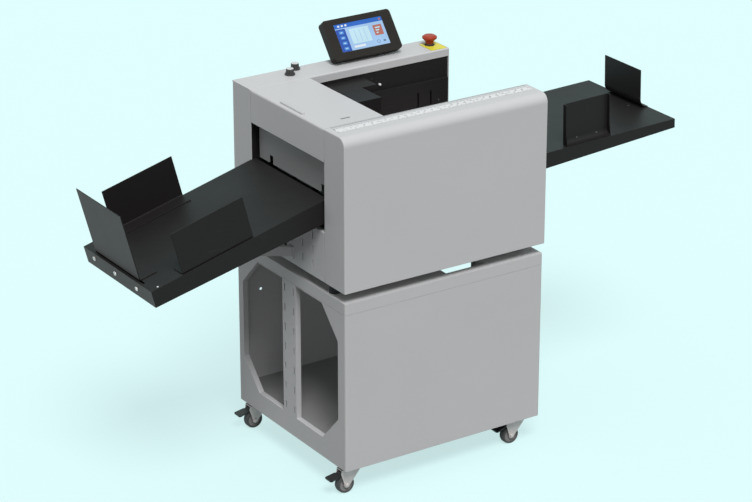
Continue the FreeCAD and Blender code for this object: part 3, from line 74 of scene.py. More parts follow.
# ---- Camera ----
CAMERA_PLACE = CORNER + Vector((-3.45294, -5.38890, 2.77178))
CAMERA_TURN = math.radians(-33.347)
CAMERA_PITCH = math.radians(22.516)
CAMERA_REACH = 100.0
SENSOR_WIDTH = 36.0
IMAGE_WIDTH = 752.0
FOCAL_PIXELS = 2793.57

# ---- Light and floor ----
SKY_STRENGTH = 0.45
SKY_COLOUR = (1.0, 1.0, 1.0, 1.0)
KEY_STRENGTH = 2.58
KEY_DIRECTION = Vector((-0.20, -0.535, 0.821))
KEY_ANGLE = math.radians(24)
BACKDROP = (0.753, 1.0, 1.0, 1.0)
FLOOR_SIZE = 60.0
FLOOR_GLOW = 0.72
FLOOR_PALE = (0.666, 0.885, 0.885, 1.0)
FLOOR_PALE_DIM = (0.655, 0.87, 0.87, 1.0)
FLOOR_BOUNCE = (0.20, 0.20, 0.20, 1.0)

# ---- Finishes: what several of them share ----
BEVEL_SAMPLES = 4
NOISE_MIDDLE = (0.3, 0.7)
NOISE_WIDE = (0.2, 0.8)
COARSE_GRAIN = 0.31
WORN_LEVEL = 0.75
PAINT_DUST = (0.62, 0.61, 0.58, 1.0)
PLASTIC_DUST = (0.55, 0.54, 0.52, 1.0)
WHEEL_DUST = (0.5, 0.49, 0.47, 1.0)
# Painted light: the pale colour mixed into the faces of the infeed tray and its stop that look
# towards -X.
PAINTED_SIDE_LIGHT_COLOUR = (0.44, 0.38, 0.375, 1.0)
PANE_DARK = (0.006, 0.007, 0.009, 1.0)
UNLIT = (0.0, 0.0, 0.0, 1.0)
TYRE_START = 19 * MM
TYRE_BLEND = 0.0003

# ---- Infeed tray: its slope, and its height where it meets the machine, in millimetres ----
INFEED_SLOPE = math.radians(14.9)
INFEED_HEIGHT = 221.0
UP_THE_TRAY = Vector((math.cos(INFEED_SLOPE), 0.0, math.sin(INFEED_SLOPE)))
INTO_THE_TRAY = Vector((math.sin(INFEED_SLOPE), 0.0, -math.cos(INFEED_SLOPE)))

# ---- Printed scale: each row of ticks is a pitch, a thickness and a length ----
STRIP_START = at(18, 48, 0)
STRIP_WIDTH = 42 * MM
STRIP_LENGTH = 590 * MM
STRIP_THICKNESS = 0.4 * MM
STRIP_RIM = 0.0006
STRIP_CROWN = 0.0001
BAND_NEAR = 2 * MM
BAND_FAR = 29 * MM
BORDER_INSET = 0.0024
BORDER_HALF_WIDTH = 0.0008
METRIC_TICKS = ((0.002, 0.0006, 0.003), (0.010, 0.0008, 0.006), (0.050, 0.0012, 0.009))
INCH_TICKS = ((INCH / 8, 0.0006, 0.0025), (INCH / 2, 0.0008, 0.005), (INCH, 0.0011, 0.0065))
NUMBER_SHIFT = 0.001
NUMBER_RISE = 0.00052
NUMBER_THICKNESS = 0.00004

# ---- Touch screen ----
SCREEN_LEAN = math.radians(38.3)
PANE_THICKNESS = 5 * MM
TILE_THICKNESS = 0.06 * MM
LAYER_STEP = 0.0001

# ---- Fasteners ----
RAY_CLEARANCE = 0.05
STAND_SCREW_INSET = 0.03
STAND_SCREW_DROP = 0.05
INLET_SCREW_SPREAD = 0.42

# ---- Casters ----
SWIVEL_OFFSET = 27 * MM
RACE_DROP = 0.0026
RACE_RADIUS = 0.0195
RACE_THICKNESS = 0.0022
NUT_GAP = 0.0037
NUT_RADIUS = 0.0064
NUT_HEIGHT = 0.0030

# ---- Knob caps and the collar of the stop button ----
CAP_RADIUS = 0.0096
CAP_HEIGHT = 0.0012
CAP_RIM = 0.0012
CAP_SINK = 0.0004
POINTER_SHIFT = Vector((-0.0042, 0, 0.0012))
POINTER_SIZE = (0.0085, 0.0016, 0.0010)
SMALL_EDGE = 0.0003
COLLAR_RISE = 0.0009
COLLAR_RADIUS = 0.0126
COLLAR_THICKNESS = 0.0012


# ---- Shader node helpers ----
def new_group(name, inputs, outputs):
    """An empty shader node group with its input and output nodes."""
    tree = bpy.data.node_groups.new(name, "ShaderNodeTree")
    for label, kind, value in inputs:
        socket = tree.interface.new_socket(name=label, in_out="INPUT", socket_type=kind)
        if value is not None:
            socket.default_value = value
    for label in outputs:
        tree.interface.new_socket(name=label, in_out="OUTPUT", socket_type="NodeSocketFloat")
    start = tree.nodes.new("NodeGroupInput")
    end = tree.nodes.new("NodeGroupOutput")
    return tree, start, end


def mask_group(name, amount, more_inputs=()):
    """A group whose output is a mask that its input Amount scales."""
    return new_group(name, [*more_inputs, ("Amount", "NodeSocketFloat", amount)], ["Mask"])


def feed(tree, socket, value):
    """Links an output into a socket, or writes a plain value on it."""
    if isinstance(value, bpy.types.NodeSocket):
        tree.links.new(value, socket)
    else:
        socket.default_value = value


def calculate(tree, operation, first, second, clamp=False):
    node = tree.nodes.new("ShaderNodeMath")
    node.operation = operation
    node.use_clamp = clamp
    feed(tree, node.inputs[0], first)
    feed(tree, node.inputs[1], second)
    return node.outputs[0]


def map_range(tree, value, source, target=(0.0, 1.0)):
    """Maps one range of a value onto another."""
    node = tree.nodes.new("ShaderNodeMapRange")
    feed(tree, node.inputs["Value"], value)
    for label, limit in zip(("From Min", "From Max", "To Min", "To Max"), source + target):
        feed(tree, node.inputs[label], limit)
    return node.outputs["Result"]


def mix_colour(tree, factor, first, second):
    node = tree.nodes.new("ShaderNodeMix")
    node.data_type = "RGBA"
    feed(tree, node.inputs[0], factor)
    feed(tree, node.inputs[6], first)
    feed(tree, node.inputs[7], second)
    return node.outputs[2]


def noise(tree, vector, scale, detail=3.0, roughness=0.5):
    node = tree.nodes.new("ShaderNodeTexNoise")
    node.inputs["Detail"].default_value = detail
    node.inputs["Roughness"].default_value = roughness
    feed(tree, node.inputs["Vector"], vector)
    feed(tree, node.inputs["Scale"], scale)
    return node.outputs["Fac"]


def vector_step(tree, operation, first, second=None):
    node = tree.nodes.new("ShaderNodeVectorMath")
    node.operation = operation
    feed(tree, node.inputs[0], first)
    if second is not None:
        feed(tree, node.inputs[1], second)
    return node.outputs["Value" if operation in ("DOT_PRODUCT", "LENGTH") else "Vector"]


def separate(tree, vector):
    """The outputs X, Y and Z of a vector."""
    node = tree.nodes.new("ShaderNodeSeparateXYZ")
    feed(tree, node.inputs[0], vector)
    return node.outputs


def object_place(tree):
    return tree.nodes.new("ShaderNodeTexCoord").outputs["Object"]


def surface_normal(tree):
    return tree.nodes.new("ShaderNodeNewGeometry").outputs["Normal"]


def softened_normal(tree, radius):
    """The normal of a surface whose edges are rounded to a radius."""
    node = tree.nodes.new("ShaderNodeBevel")
    node.samples = BEVEL_SAMPLES
    feed(tree, node.inputs["Radius"], radius)
    return node.outputs["Normal"]


def send_mask(tree, start, end, mask):
    """Sends a mask out of its group, scaled by the group's amount."""
    scaled = calculate(tree, "MULTIPLY", mask, start.outputs["Amount"], clamp=True)
    feed(tree, end.inputs["Mask"], scaled)


# ---- Effects that several finishes share ----
def make_grain_group():
    """Fine pebbled height and a slow change of tone, both from the piece's own place."""
    tree, start, end = new_group(
        "pebble_grain",
        [("Grain Scale", "NodeSocketFloat", 900.0), ("Tone Scale", "NodeSocketFloat", 6.0)],
        ["Height", "Tone"])
    place = object_place(tree)
    fine = noise(tree, place, start.outputs["Grain Scale"], detail=2.0, roughness=0.6)
    coarse_scale = calculate(tree, "MULTIPLY", start.outputs["Grain Scale"], COARSE_GRAIN)
    coarse = noise(tree, place, coarse_scale, detail=2.0, roughness=0.5)
    feed(tree, end.inputs["Height"], calculate(tree, "ADD", fine, coarse))
    tone = noise(tree, place, start.outputs["Tone Scale"], detail=4.0, roughness=0.6)
    feed(tree, end.inputs["Tone"], tone)
    return tree


def make_edge_group():
    """A mask of edges, broken up so that it is uneven: worn edges, and in moulded finishes also
    a painted edge highlight.
    """
    tree, start, end = mask_group("edge_wear_and_highlight", 1.0, [("Width", "NodeSocketFloat", 0.0012)])
    softened = softened_normal(tree, start.outputs["Width"])
    likeness = vector_step(tree, "DOT_PRODUCT", softened, surface_normal(tree))
    edge = map_range(tree, calculate(tree, "SUBTRACT", 1.0, likeness), (0.02, 0.25))
    patches = noise(tree, object_place(tree), 45.0, detail=5.0, roughness=0.65)
    broken = map_range(tree, patches, (0.38, 0.68))
    send_mask(tree, start, end, calculate(tree, "MULTIPLY", edge, broken))
    return tree


def make_dust_group():
    """Thin dust that settles in patches on what faces up."""
    tree, start, end = mask_group("settled_dust", 0.1)
    up = map_range(tree, separate(tree, surface_normal(tree))["Z"], (0.35, 0.95))
    cloud = noise(tree, object_place(tree), 18.0, detail=6.0, roughness=0.7)
    patches = map_range(tree, cloud, (0.42, 0.72), (0.15, 1.0))
    send_mask(tree, start, end, calculate(tree, "MULTIPLY", up, patches))
    return tree


def make_scratch_group():
    """Sparse fine scratches and hand marks: long thin streaks kept to a few patches."""
    tree, start, end = mask_group("fine_scratches", 0.3)
    place = object_place(tree)
    streaks = []
    for stretch in ((14.0, 600.0, 500.0), (520.0, 18.0, 430.0)):
        stretched = vector_step(tree, "MULTIPLY", place, stretch)
        line = noise(tree, stretched, 1.0, detail=2.0, roughness=0.5)
        streaks.append(map_range(tree, line, (0.66, 0.72)))
    both = calculate(tree, "MAXIMUM", streaks[0], streaks[1])
    patch = map_range(tree, noise(tree, place, 9.0, detail=3.0, roughness=0.6), (0.52, 0.66))
    send_mask(tree, start, end, calculate(tree, "MULTIPLY", both, patch))
    return tree


def make_streak_group():
    """Brushed or drawn lines along one direction of the piece."""
    tree, start, end = new_group(
        "drawn_lines", [("Stretch", "NodeSocketVector", None)], ["Height"])
    scaled = vector_step(tree, "MULTIPLY", object_place(tree), start.outputs["Stretch"])
    feed(tree, end.inputs["Height"], noise(tree, scaled, 1.0, detail=4.0, roughness=0.6))
    return tree


def make_rubbed_end_group():
    """A mask of painted light: the faces at the tray's open end, which look towards -X, painted
    paler in patches.
    """
    tree, start, end = mask_group("painted_left_light", 1.0)
    outward = map_range(tree, separate(tree, surface_normal(tree))["X"], (-0.80, -0.93))
    cloud = noise(tree, object_place(tree), 7.0, detail=5.0, roughness=0.6)
    patches = map_range(tree, cloud, NOISE_MIDDLE, (0.86, 1.0))
    send_mask(tree, start, end, calculate(tree, "MULTIPLY", outward, patches))
    return tree


def make_axle_group():
    """Distance from an axle that lies along Y."""
    tree, start, end = new_group(
        "axle_distance", [("Axle", "NodeSocketVector", None)], ["Distance"])
    reach = vector_step(tree, "SUBTRACT", object_place(tree), start.outputs["Axle"])
    flat = vector_step(tree, "MULTIPLY", reach, (1.0, 0.0, 1.0))
    feed(tree, end.inputs["Distance"], vector_step(tree, "LENGTH", flat))
    return tree


def make_pixel_group():
    """Brightness of a lit display: a fine pixel pattern and a slow fall-off."""
    tree, start, end = new_group(
        "display_pixels", [("Fade", "NodeSocketFloat", 0.1)], ["Shade", "Tone"])
    place = object_place(tree)
    slow = noise(tree, place, 22.0, detail=1.0, roughness=0.4)
    dots = tree.nodes.new("ShaderNodeTexVoronoi")
    dots.inputs["Scale"].default_value = 1800.0
    feed(tree, dots.inputs["Vector"], place)
    grid = map_range(tree, dots.outputs["Distance"], (0.0, 0.9), (1.0, 0.92))
    darkest = calculate(tree, "SUBTRACT", 1.0, start.outputs["Fade"])
    fall_off = map_range(tree, slow, NOISE_MIDDLE, (darkest, 1.0))
    feed(tree, end.inputs["Shade"], calculate(tree, "MULTIPLY", fall_off, grid))
    feed(tree, end.inputs["Tone"], slow)
    return tree


GRAIN = make_grain_group()
EDGES = make_edge_group()
DUST = make_dust_group()
SCRATCHES = make_scratch_group()
STREAKS = make_streak_group()
PAINTED_LEFT_LIGHT = make_rubbed_end_group()
AXLE_DISTANCE = make_axle_group()
PIXELS = make_pixel_group()


def effect(tree, group, **values):
    """Places a shared effect in a material with its own values."""
    node = tree.nodes.new("ShaderNodeGroup")
    node.node_tree = group
    for label, value in values.items():
        node.inputs[label.replace("_", " ")].default_value = value
    return node.outputs


def new_material(name):
    """A material with its Principled shader and nothing linked yet."""
    material = bpy.data.materials.new(name)
    material.use_nodes = True
    tree = material.node_tree
    return material, tree, tree.nodes["Principled BSDF"]


def set_sockets(shader, **values):
    for label, value in values.items():
        shader.inputs[label.replace("_", " ")].default_value = value


def shade_of(colour, factor):
    return tuple(min(1.0, channel * factor) for channel in colour[:3]) + (1.0,)


def paler(colour, share):
    """A colour moved by a share towards the pale grey of worn paint."""
    moved = (channel + (WORN_LEVEL - channel) * share for channel in colour[:3])
    return tuple(moved) + (1.0,)


def toned(tree, tone, colour, darker, lighter):
    """A colour that wanders between two shades of itself."""
    share = map_range(tree, tone, NOISE_MIDDLE)
    return mix_colour(tree, share, shade_of(colour, darker), shade_of(colour, lighter))


def link_bump(tree, shader, height, distance, edge_radius=None):
    """Height into the shader's normal, over edges that can be softly rounded."""
    bump = tree.nodes.new("ShaderNodeBump")
    bump.inputs["Distance"].default_value = distance
    feed(tree, bump.inputs["Height"], height)
    if edge_radius is not None:
        feed(tree, bump.inputs["Normal"], softened_normal(tree, edge_radius))
    feed(tree, shader.inputs["Normal"], bump.outputs["Normal"])


# ---- Finishes ----
def powder_coat(name, colour, roughness, bump=0.00005, wear=0.15, dust=0.03, tone=0.02,
                gloss=0.2, left_light_amount=None):
    """Baked powder paint on sheet metal: pebbled, a little worn at its edges, lightly dusty."""
    material, tree, shader = new_material(name)
    grains = effect(tree, GRAIN, Grain_Scale=1000.0, Tone_Scale=4.0)
    dusty = effect(tree, DUST, Amount=dust)["Mask"]
    base = toned(tree, grains["Tone"], colour, 1 - tone, 1 + tone)
    # Painted light: where it is asked for, the faces that look towards -X are painted paler.
    if left_light_amount is not None:
        painted_light_share = effect(tree, PAINTED_LEFT_LIGHT, Amount=left_light_amount)["Mask"]
        base = mix_colour(tree, painted_light_share, base, PAINTED_SIDE_LIGHT_COLOUR)
    lifted = mix_colour(tree, dusty, base, PAINT_DUST)
    scratches = effect(tree, SCRATCHES, Amount=wear)["Mask"]
    edges = effect(tree, EDGES, Width=0.0012, Amount=wear)["Mask"]
    worn = calculate(tree, "MAXIMUM", edges, calculate(tree, "MULTIPLY", scratches, 0.5))
    feed(tree, shader.inputs["Base Color"], mix_colour(tree, worn, lifted, paler(colour, 0.35)))
    rough = map_range(tree, grains["Tone"], NOISE_WIDE, (roughness - 0.05, roughness + 0.06))
    smoother = calculate(tree, "SUBTRACT", rough, calculate(tree, "MULTIPLY", worn, 0.12))
    dulled = calculate(tree, "ADD", smoother, calculate(tree, "MULTIPLY", dusty, 0.5))
    feed(tree, shader.inputs["Roughness"], dulled)
    link_bump(tree, shader, grains["Height"], bump, edge_radius=0.0010)
    set_sockets(shader, Specular_IOR_Level=gloss)
    return material


def plated_steel(name, colour, roughness, stretch, metallic=1.0):
    """Zinc plated or ground steel with drawn lines and a mottled tone."""
    material, tree, shader = new_material(name)
    tone = effect(tree, GRAIN, Grain_Scale=1400.0, Tone_Scale=30.0)["Tone"]
    lines = effect(tree, STREAKS, Stretch=stretch)["Height"]
    bare = effect(tree, EDGES, Width=0.0006, Amount=0.8)["Mask"]
    base = toned(tree, tone, colour, 0.86, 1.06)
    feed(tree, shader.inputs["Base Color"], mix_colour(tree, bare, base, shade_of(colour, 1.25)))
    rough = map_range(tree, lines, NOISE_MIDDLE, (roughness - 0.07, roughness + 0.09))
    feed(tree, shader.inputs["Roughness"], rough)
    link_bump(tree, shader, lines, 0.00003, edge_radius=0.0004)
    set_sockets(shader, Metallic=metallic)
    return material


def moulded(name, colour, roughness, bump=0.00004, dust=0.03, gloss=0.3):
    """Moulded plastic or rubber: fine texture, rubbed smoother at its edges, and paler at its
    edges: partly rubbing, partly a painted edge highlight.
    """
    material, tree, shader = new_material(name)
    grains = effect(tree, GRAIN, Grain_Scale=1500.0, Tone_Scale=12.0)
    painted_light_share = effect(tree, EDGES, Width=0.0008, Amount=0.7)["Mask"]
    dusty = effect(tree, DUST, Amount=dust)["Mask"]
    base = toned(tree, grains["Tone"], colour, 0.92, 1.08)
    # Edges painted lighter: partly rubbed plastic, partly a painted edge highlight.
    worn = mix_colour(tree, painted_light_share, base, shade_of(colour, 1.7))
    feed(tree, shader.inputs["Base Color"], mix_colour(tree, dusty, worn, PLASTIC_DUST))
    rough = map_range(tree, grains["Tone"], NOISE_WIDE, (roughness - 0.07, roughness + 0.08))
    smoother = calculate(tree, "SUBTRACT", rough, calculate(tree, "MULTIPLY", painted_light_share, 0.1))
    feed(tree, shader.inputs["Roughness"], smoother)
    link_bump(tree, shader, grains["Height"], bump, edge_radius=0.0005)
    set_sockets(shader, Specular_IOR_Level=gloss)
    return material


def caster_wheel_finish(name, axle):
    """Grey moulded wheel with a darker rubber tyre, told apart by the distance from the axle."""
    material, tree, shader = new_material(name)
    reach = effect(tree, AXLE_DISTANCE, Axle=axle)["Distance"]
    tyre = map_range(tree, reach, (TYRE_START - TYRE_BLEND, TYRE_START + TYRE_BLEND))
    grains = effect(tree, GRAIN, Grain_Scale=1100.0, Tone_Scale=60.0)
    tone = grains["Tone"]
    dusty = effect(tree, DUST, Amount=0.12)["Mask"]
    hub = mix_colour(tree, tone, (0.20, 0.185, 0.185, 1.0), (0.27, 0.25, 0.25, 1.0))
    tread = mix_colour(tree, tone, (0.045, 0.044, 0.046, 1.0), (0.085, 0.083, 0.083, 1.0))
    both = mix_colour(tree, tyre, hub, tread)
    feed(tree, shader.inputs["Base Color"], mix_colour(tree, dusty, both, WHEEL_DUST))
    feed(tree, shader.inputs["Roughness"], map_range(tree, tyre, (0.0, 1.0), (0.40, 0.72)))
    link_bump(tree, shader, grains["Height"], 0.00006, edge_radius=0.0004)
    return material


def lit_colour(name, colour):
    """A lit patch of the display."""
    material, tree, shader = new_material(name)
    light = effect(tree, PIXELS, Fade=0.07)
    glow = mix_colour(tree, light["Shade"], UNLIT, colour)
    feed(tree, shader.inputs["Emission Color"], glow)
    pane = mix_colour(tree, light["Tone"], PANE_DARK, (0.010, 0.011, 0.014, 1.0))
    feed(tree, shader.inputs["Base Color"], pane)
    rough = map_range(tree, light["Tone"], NOISE_MIDDLE, (0.18, 0.30))
    feed(tree, shader.inputs["Roughness"], rough)
    set_sockets(shader, Emission_Strength=0.95, Specular_IOR_Level=0.3)
    return material


def display_glass():
    """Dark pane with faint finger marks."""
    material, tree, shader = new_material("display_pane")
    marks = noise(tree, object_place(tree), 60.0, detail=5.0, roughness=0.7)
    feed(tree, shader.inputs["Roughness"], map_range(tree, marks, (0.35, 0.75), (0.06, 0.24)))
    pane = mix_colour(tree, marks, PANE_DARK, (0.016, 0.017, 0.02, 1.0))
    feed(tree, shader.inputs["Base Color"], pane)
    set_sockets(shader, Coat_Weight=0.4, Coat_Roughness=0.05)
    return material


def tick_row(tree, along, depth, ticks):
    """Ticks at each pitch, as long as each reach, measured from one edge of the printed band."""
    row = None
    for pitch, thickness, reach in ticks:
        line = calculate(tree, "LESS_THAN", calculate(tree, "MODULO", along, pitch), thickness)
        short = calculate(tree, "LESS_THAN", depth, reach)
        tick = calculate(tree, "MULTIPLY", line, short)
        row = tick if row is None else calculate(tree, "MAXIMUM", row, tick)
    return row


def scale_strip_finish():
    """Printed strip: a white band with metric and inch ticks, and a dark border line."""
    material, tree, shader = new_material("scale_strip_print")
    place = vector_step(tree, "SUBTRACT", object_place(tree), tuple(STRIP_START))
    axes = separate(tree, place)
    along = axes["X"]
    across = axes["Y"]
    above_near = calculate(tree, "SUBTRACT", across, BAND_NEAR)
    below_far = calculate(tree, "SUBTRACT", BAND_FAR, across)
    band = calculate(tree, "MULTIPLY", calculate(tree, "GREATER_THAN", above_near, 0.0),
                     calculate(tree, "GREATER_THAN", below_far, 0.0))
    metric = tick_row(tree, along, below_far, METRIC_TICKS)
    inches = tick_row(tree, along, above_near, INCH_TICKS)
    ticks = calculate(tree, "MULTIPLY", calculate(tree, "MAXIMUM", metric, inches), band)
    border = calculate(tree, "COMPARE", across, STRIP_WIDTH - BORDER_INSET)
    border.node.inputs[2].default_value = BORDER_HALF_WIDTH
    grains = effect(tree, GRAIN, Grain_Scale=700.0, Tone_Scale=14.0)
    tone = grains["Tone"]
    ground = mix_colour(tree, tone, (0.49, 0.49, 0.50, 1.0), (0.54, 0.54, 0.55, 1.0))
    white = mix_colour(tree, tone, (0.64, 0.64, 0.65, 1.0), (0.74, 0.74, 0.75, 1.0))
    printed = mix_colour(tree, band, ground, white)
    ink = calculate(tree, "MAXIMUM", ticks, border)
    inked = mix_colour(tree, ink, printed, (0.10, 0.10, 0.105, 1.0))
    feed(tree, shader.inputs["Base Color"], inked)
    feed(tree, shader.inputs["Roughness"], map_range(tree, tone, NOISE_WIDE, (0.32, 0.44)))
    link_bump(tree, shader, grains["Height"], 0.00002)
    set_sockets(shader, Specular_IOR_Level=0.2)
    return material


BLACK = (0.0135, 0.0113, 0.0113)
cover_paint = powder_coat("cover_paint", (0.534, 0.537, 0.545), 0.48,
                          bump=0.00004, wear=0.12, tone=0.012)
stand_paint = powder_coat("stand_paint", (0.528, 0.530, 0.538), 0.50,
                          wear=0.16, dust=0.04, tone=0.015)
# Painted shade: the gate is painted darker than the cover's grey because it lies in the shade
# under the lid.
gate_painted_shade = powder_coat("gate_painted_shade", (0.26, 0.26, 0.264), 0.50,
                         bump=0.00004, wear=0.12, tone=0.015)
base_paint = powder_coat("stand_base_paint", (0.27, 0.27, 0.273), 0.52,
                         wear=0.16, dust=0.04, tone=0.015)
black_paint = powder_coat("black_paint", BLACK, 0.50,
                          wear=0.12, dust=0.004, tone=0.05, gloss=0.17)
# The infeed tray and its stop carry painted light: their faces towards -X are painted paler.
tray_paint = powder_coat("tray_paint", BLACK, 0.50,
                         wear=0.12, dust=0.004, tone=0.05, gloss=0.17, left_light_amount=0.21)
bracket_paint = powder_coat("bracket_paint", (0.25, 0.25, 0.252), 0.5,
                            bump=0.00006, wear=0.25, dust=0.05, tone=0.03)
yellow_paint = powder_coat("yellow_enamel", (0.71, 0.63, 0.048), 0.40,
                           bump=0.00004, dust=0.02, tone=0.03)
zinc = plated_steel("zinc_plate", (0.60, 0.545, 0.535), 0.42,
                    stretch=(60.0, 900.0, 900.0), metallic=0.35)
ground_steel = plated_steel("ground_steel", (0.56, 0.57, 0.58), 0.28,
                            stretch=(900.0, 40.0, 900.0))
bright_steel = plated_steel("bright_steel", (0.80, 0.765, 0.755), 0.34,
                            stretch=(700.0, 700.0, 90.0), metallic=0.5)
black_plastic = moulded("black_plastic", (0.018, 0.0175, 0.018), 0.42)
bezel_plastic = moulded("bezel_plastic", (0.0195, 0.0155, 0.0130), 0.44,
                        bump=0.00003, dust=0.004, gloss=0.15)
knob_plastic = moulded("knob_plastic", (0.052, 0.050, 0.051), 0.42)
cap_plastic = moulded("cap_plastic", (0.58, 0.59, 0.60), 0.35)
grey_plastic = moulded("grey_plastic", (0.50, 0.505, 0.51), 0.42)
red_plastic = moulded("signal_red_plastic", (0.34, 0.042, 0.018), 0.40,
                      bump=0.00002, dust=0.006, gloss=0.2)
# Painted shade: the plunger under the stop button's head is painted a dark red-brown for the
# shade under the head.
plunger_painted_shade = moulded("stop_plunger_painted_shade", (0.110, 0.052, 0.045), 0.40)
rubber = moulded("black_rubber", (0.022, 0.022, 0.023), 0.75, bump=0.00010)
roller_rubber = moulded("roller_rubber", (0.03, 0.03, 0.031), 0.68, bump=0.00008)
# The pointer's near-white paint is partly its own colour, partly a painted highlight.
pointer_and_painted_highlight = moulded("pointer_and_painted_highlight", (0.78, 0.78, 0.78), 0.40)
scale_ink = moulded("scale_ink", (0.06, 0.06, 0.065), 0.5, bump=0.00001, dust=0.0)

FINISHED_ALIKE = (
    (cover_paint, ("front_cover", "rear_cover", "top_deck", "feed_lid", "lower_end_panels",
                   "infeed_arms")),
    (gate_painted_shade, ("infeed_gate",)),
    (stand_paint, ("stand_top_plate", "stand_front_panel", "stand_rear_panel",
                   "stand_left_frame", "stand_right_frame")),
    (base_paint, ("stand_base_plate",)),
    (tray_paint, ("infeed_tray", "infeed_stop")),
    (black_paint, ("outfeed_tray", "infeed_guide_front", "infeed_guide_rear", "outfeed_guide",
                   "outfeed_stop", "head_cover", "well_rear_panel", "rear_side_plate",
                   "front_side_plate")),
    (bracket_paint, ("screen_mount",)),
    (zinc, ("caster_plates", "lid_hinge_pins", "chassis_tray", "delivery_table")),
    (rubber, ("machine_feet",)),
    (roller_rubber, ("feed_roller_lower", "feed_roller_upper", "drive_belt")),
    (ground_steel, ("crease_blade", "crease_anvil", "cam_shaft", "motor_pulley")),
    (black_plastic, ("drive_motor", "power_inlet", "power_switch")),
    (bezel_plastic, ("screen_housing",)),
    (display_glass(), ("screen_glass",)),
    (knob_plastic, ("knob_front", "knob_rear")),
    (grey_plastic, ("lid_grip",)),
    (plunger_painted_shade, ("estop_plunger",)),
    (red_plastic, ("estop_head",)),
    (yellow_paint, ("estop_plate",)),
)
finishes = {name: finish for finish, names in FINISHED_ALIKE for name in names}
for key in CASTERS:
    low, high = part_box("caster_wheel_" + key)
    wheel_finish = caster_wheel_finish("wheel_finish_" + key, (low + high) / 2)
    finishes["caster_wheel_" + key] = wheel_finish
    finishes["caster_fork_" + key] = zinc
    finishes["caster_pedal_" + key] = black_plastic

for name, node in nodes.items():
    node.data.materials.clear()
    node.data.materials.append(finishes[name])


# ---- Modelling helpers ----
def deselect():
    if bpy.context.object and bpy.context.object.mode != "OBJECT":
        bpy.ops.object.mode_set(mode="OBJECT")
    bpy.ops.object.select_all(action="DESELECT")


def named(name):
    piece = bpy.context.object
    piece.name = name
    piece.data.name = name
    return piece


def apply_transform():
    bpy.ops.object.transform_apply(location=True, rotation=True, scale=True)


def cylinder(name, radius, height, sides):
    """Upright cylinder that stands on the XY plane."""
    deselect()
    bpy.ops.mesh.primitive_cylinder_add(
        vertices=sides, radius=radius, depth=height, location=(0, 0, height / 2))
    return named(name)


def block(name, place, size):
    """Rectangular block around a place, with its size in its mesh."""
    deselect()
    bpy.ops.mesh.primitive_cube_add(size=1.0, location=place)
    piece = named(name)
    piece.scale = size
    apply_transform()
    return piece


def open_faces(piece, test):
    """Opens the piece for editing with only the faces selected that pass the test."""
    bpy.ops.object.mode_set(mode="EDIT")
    bpy.ops.mesh.select_mode(type="FACE")
    bpy.ops.mesh.select_all(action="DESELECT")
    bpy.ops.object.mode_set(mode="OBJECT")
    for face in piece.data.polygons:
        face.select = test(face)
    bpy.ops.object.mode_set(mode="EDIT")


def faces_up(face):
    return face.normal.z > 0.9


def faces_down(face):
    return face.normal.z < -0.6


def any_face(face):
    return True


def step_in(inset, rise):
    """Insets the selected faces and moves them along Z."""
    bpy.ops.mesh.inset(thickness=inset)
    bpy.ops.transform.translate(value=(0, 0, rise))


def push(rise):
    """Extrudes the selected faces along Z."""
    bpy.ops.mesh.extrude_region_move(TRANSFORM_OT_translate={"value": (0, 0, rise)})


def close_piece():
    bpy.ops.object.mode_set(mode="OBJECT")


def round_edges(piece, width):
    bevel = piece.modifiers.new("edges", "BEVEL")
    bevel.width = width
    bevel.segments = 2
    bevel.limit_method = "ANGLE"
    bevel.angle_limit = math.radians(30)
    bpy.ops.object.modifier_apply(modifier=bevel.name)


def finish_piece(piece, material, body, matrix=Matrix.Identity(4)):
    """Writes the piece's place into its mesh and gives it its finish, body and material slot."""
    piece.matrix_world = matrix @ piece.matrix_world
    apply_transform()
    bpy.ops.object.shade_smooth_by_angle(angle=math.radians(35))
    piece.data.materials.clear()
    piece.data.materials.append(material)
    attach(piece, body)
    return piece


def facing(place, normal):
    """Stands a piece drawn on the XY plane at a place, with +Z along a normal."""
    return Matrix.Translation(place) @ normal.to_track_quat("Z", "Y").to_matrix().to_4x4()


def seat(node_name, start, direction):
    """Where a line from outside meets a piece, and which way the piece faces, as a matrix."""
    found, place, normal, _ = nodes[node_name].ray_cast(start, direction)
    if not found:
        raise ValueError("nothing of %s on this line" % node_name)
    return facing(place, normal)


# ---- Small fasteners ----
def screw_head(name, node_name, start, direction, radius, height, material,
               slot="zinc_steel"):
    """Round screw head: domed in two steps, with a drive recess."""
    piece = cylinder(name, radius, height, 24)
    open_faces(piece, faces_up)
    step_in(radius * 0.22, height * 0.22)
    bpy.ops.mesh.inset(thickness=radius * 0.36)
    push(-height * 0.6)
    close_piece()
    round_edges(piece, radius * 0.06)
    return finish_piece(piece, material, body_of[node_name],
                        seat(node_name, start, direction))


def rivet_head(name, node_name, start, direction, radius, height, material,
               slot="zinc_steel"):
    """Plain domed head."""
    piece = cylinder(name, radius, height, 24)
    open_faces(piece, faces_up)
    for inset, rise in ((0.16, 0.30), (0.22, 0.22), (0.28, 0.10)):
        step_in(radius * inset, height * rise)
    close_piece()
    return finish_piece(piece, material, body_of[node_name],
                        seat(node_name, start, direction))


def hex_nut(name, place, normal, radius, height, material, body):
    """Hexagon nut with a chamfered face and the end of its bolt."""
    piece = cylinder(name, radius, height, 6)
    open_faces(piece, faces_up)
    step_in(radius * 0.16, height * 0.14)
    bpy.ops.mesh.inset(thickness=radius * 0.24)
    push(height * 0.3)
    close_piece()
    round_edges(piece, radius * 0.05)
    return finish_piece(piece, material, body, facing(place, normal))


def on_tray(along, y, height):
    """A place at the infeed tray, in millimetres: along its slope, across it and above it."""
    x = along * math.cos(INFEED_SLOPE) - height * math.sin(INFEED_SLOPE)
    z = along * math.sin(INFEED_SLOPE) + height * math.cos(INFEED_SLOPE)
    return at(x, y, INFEED_HEIGHT + z)


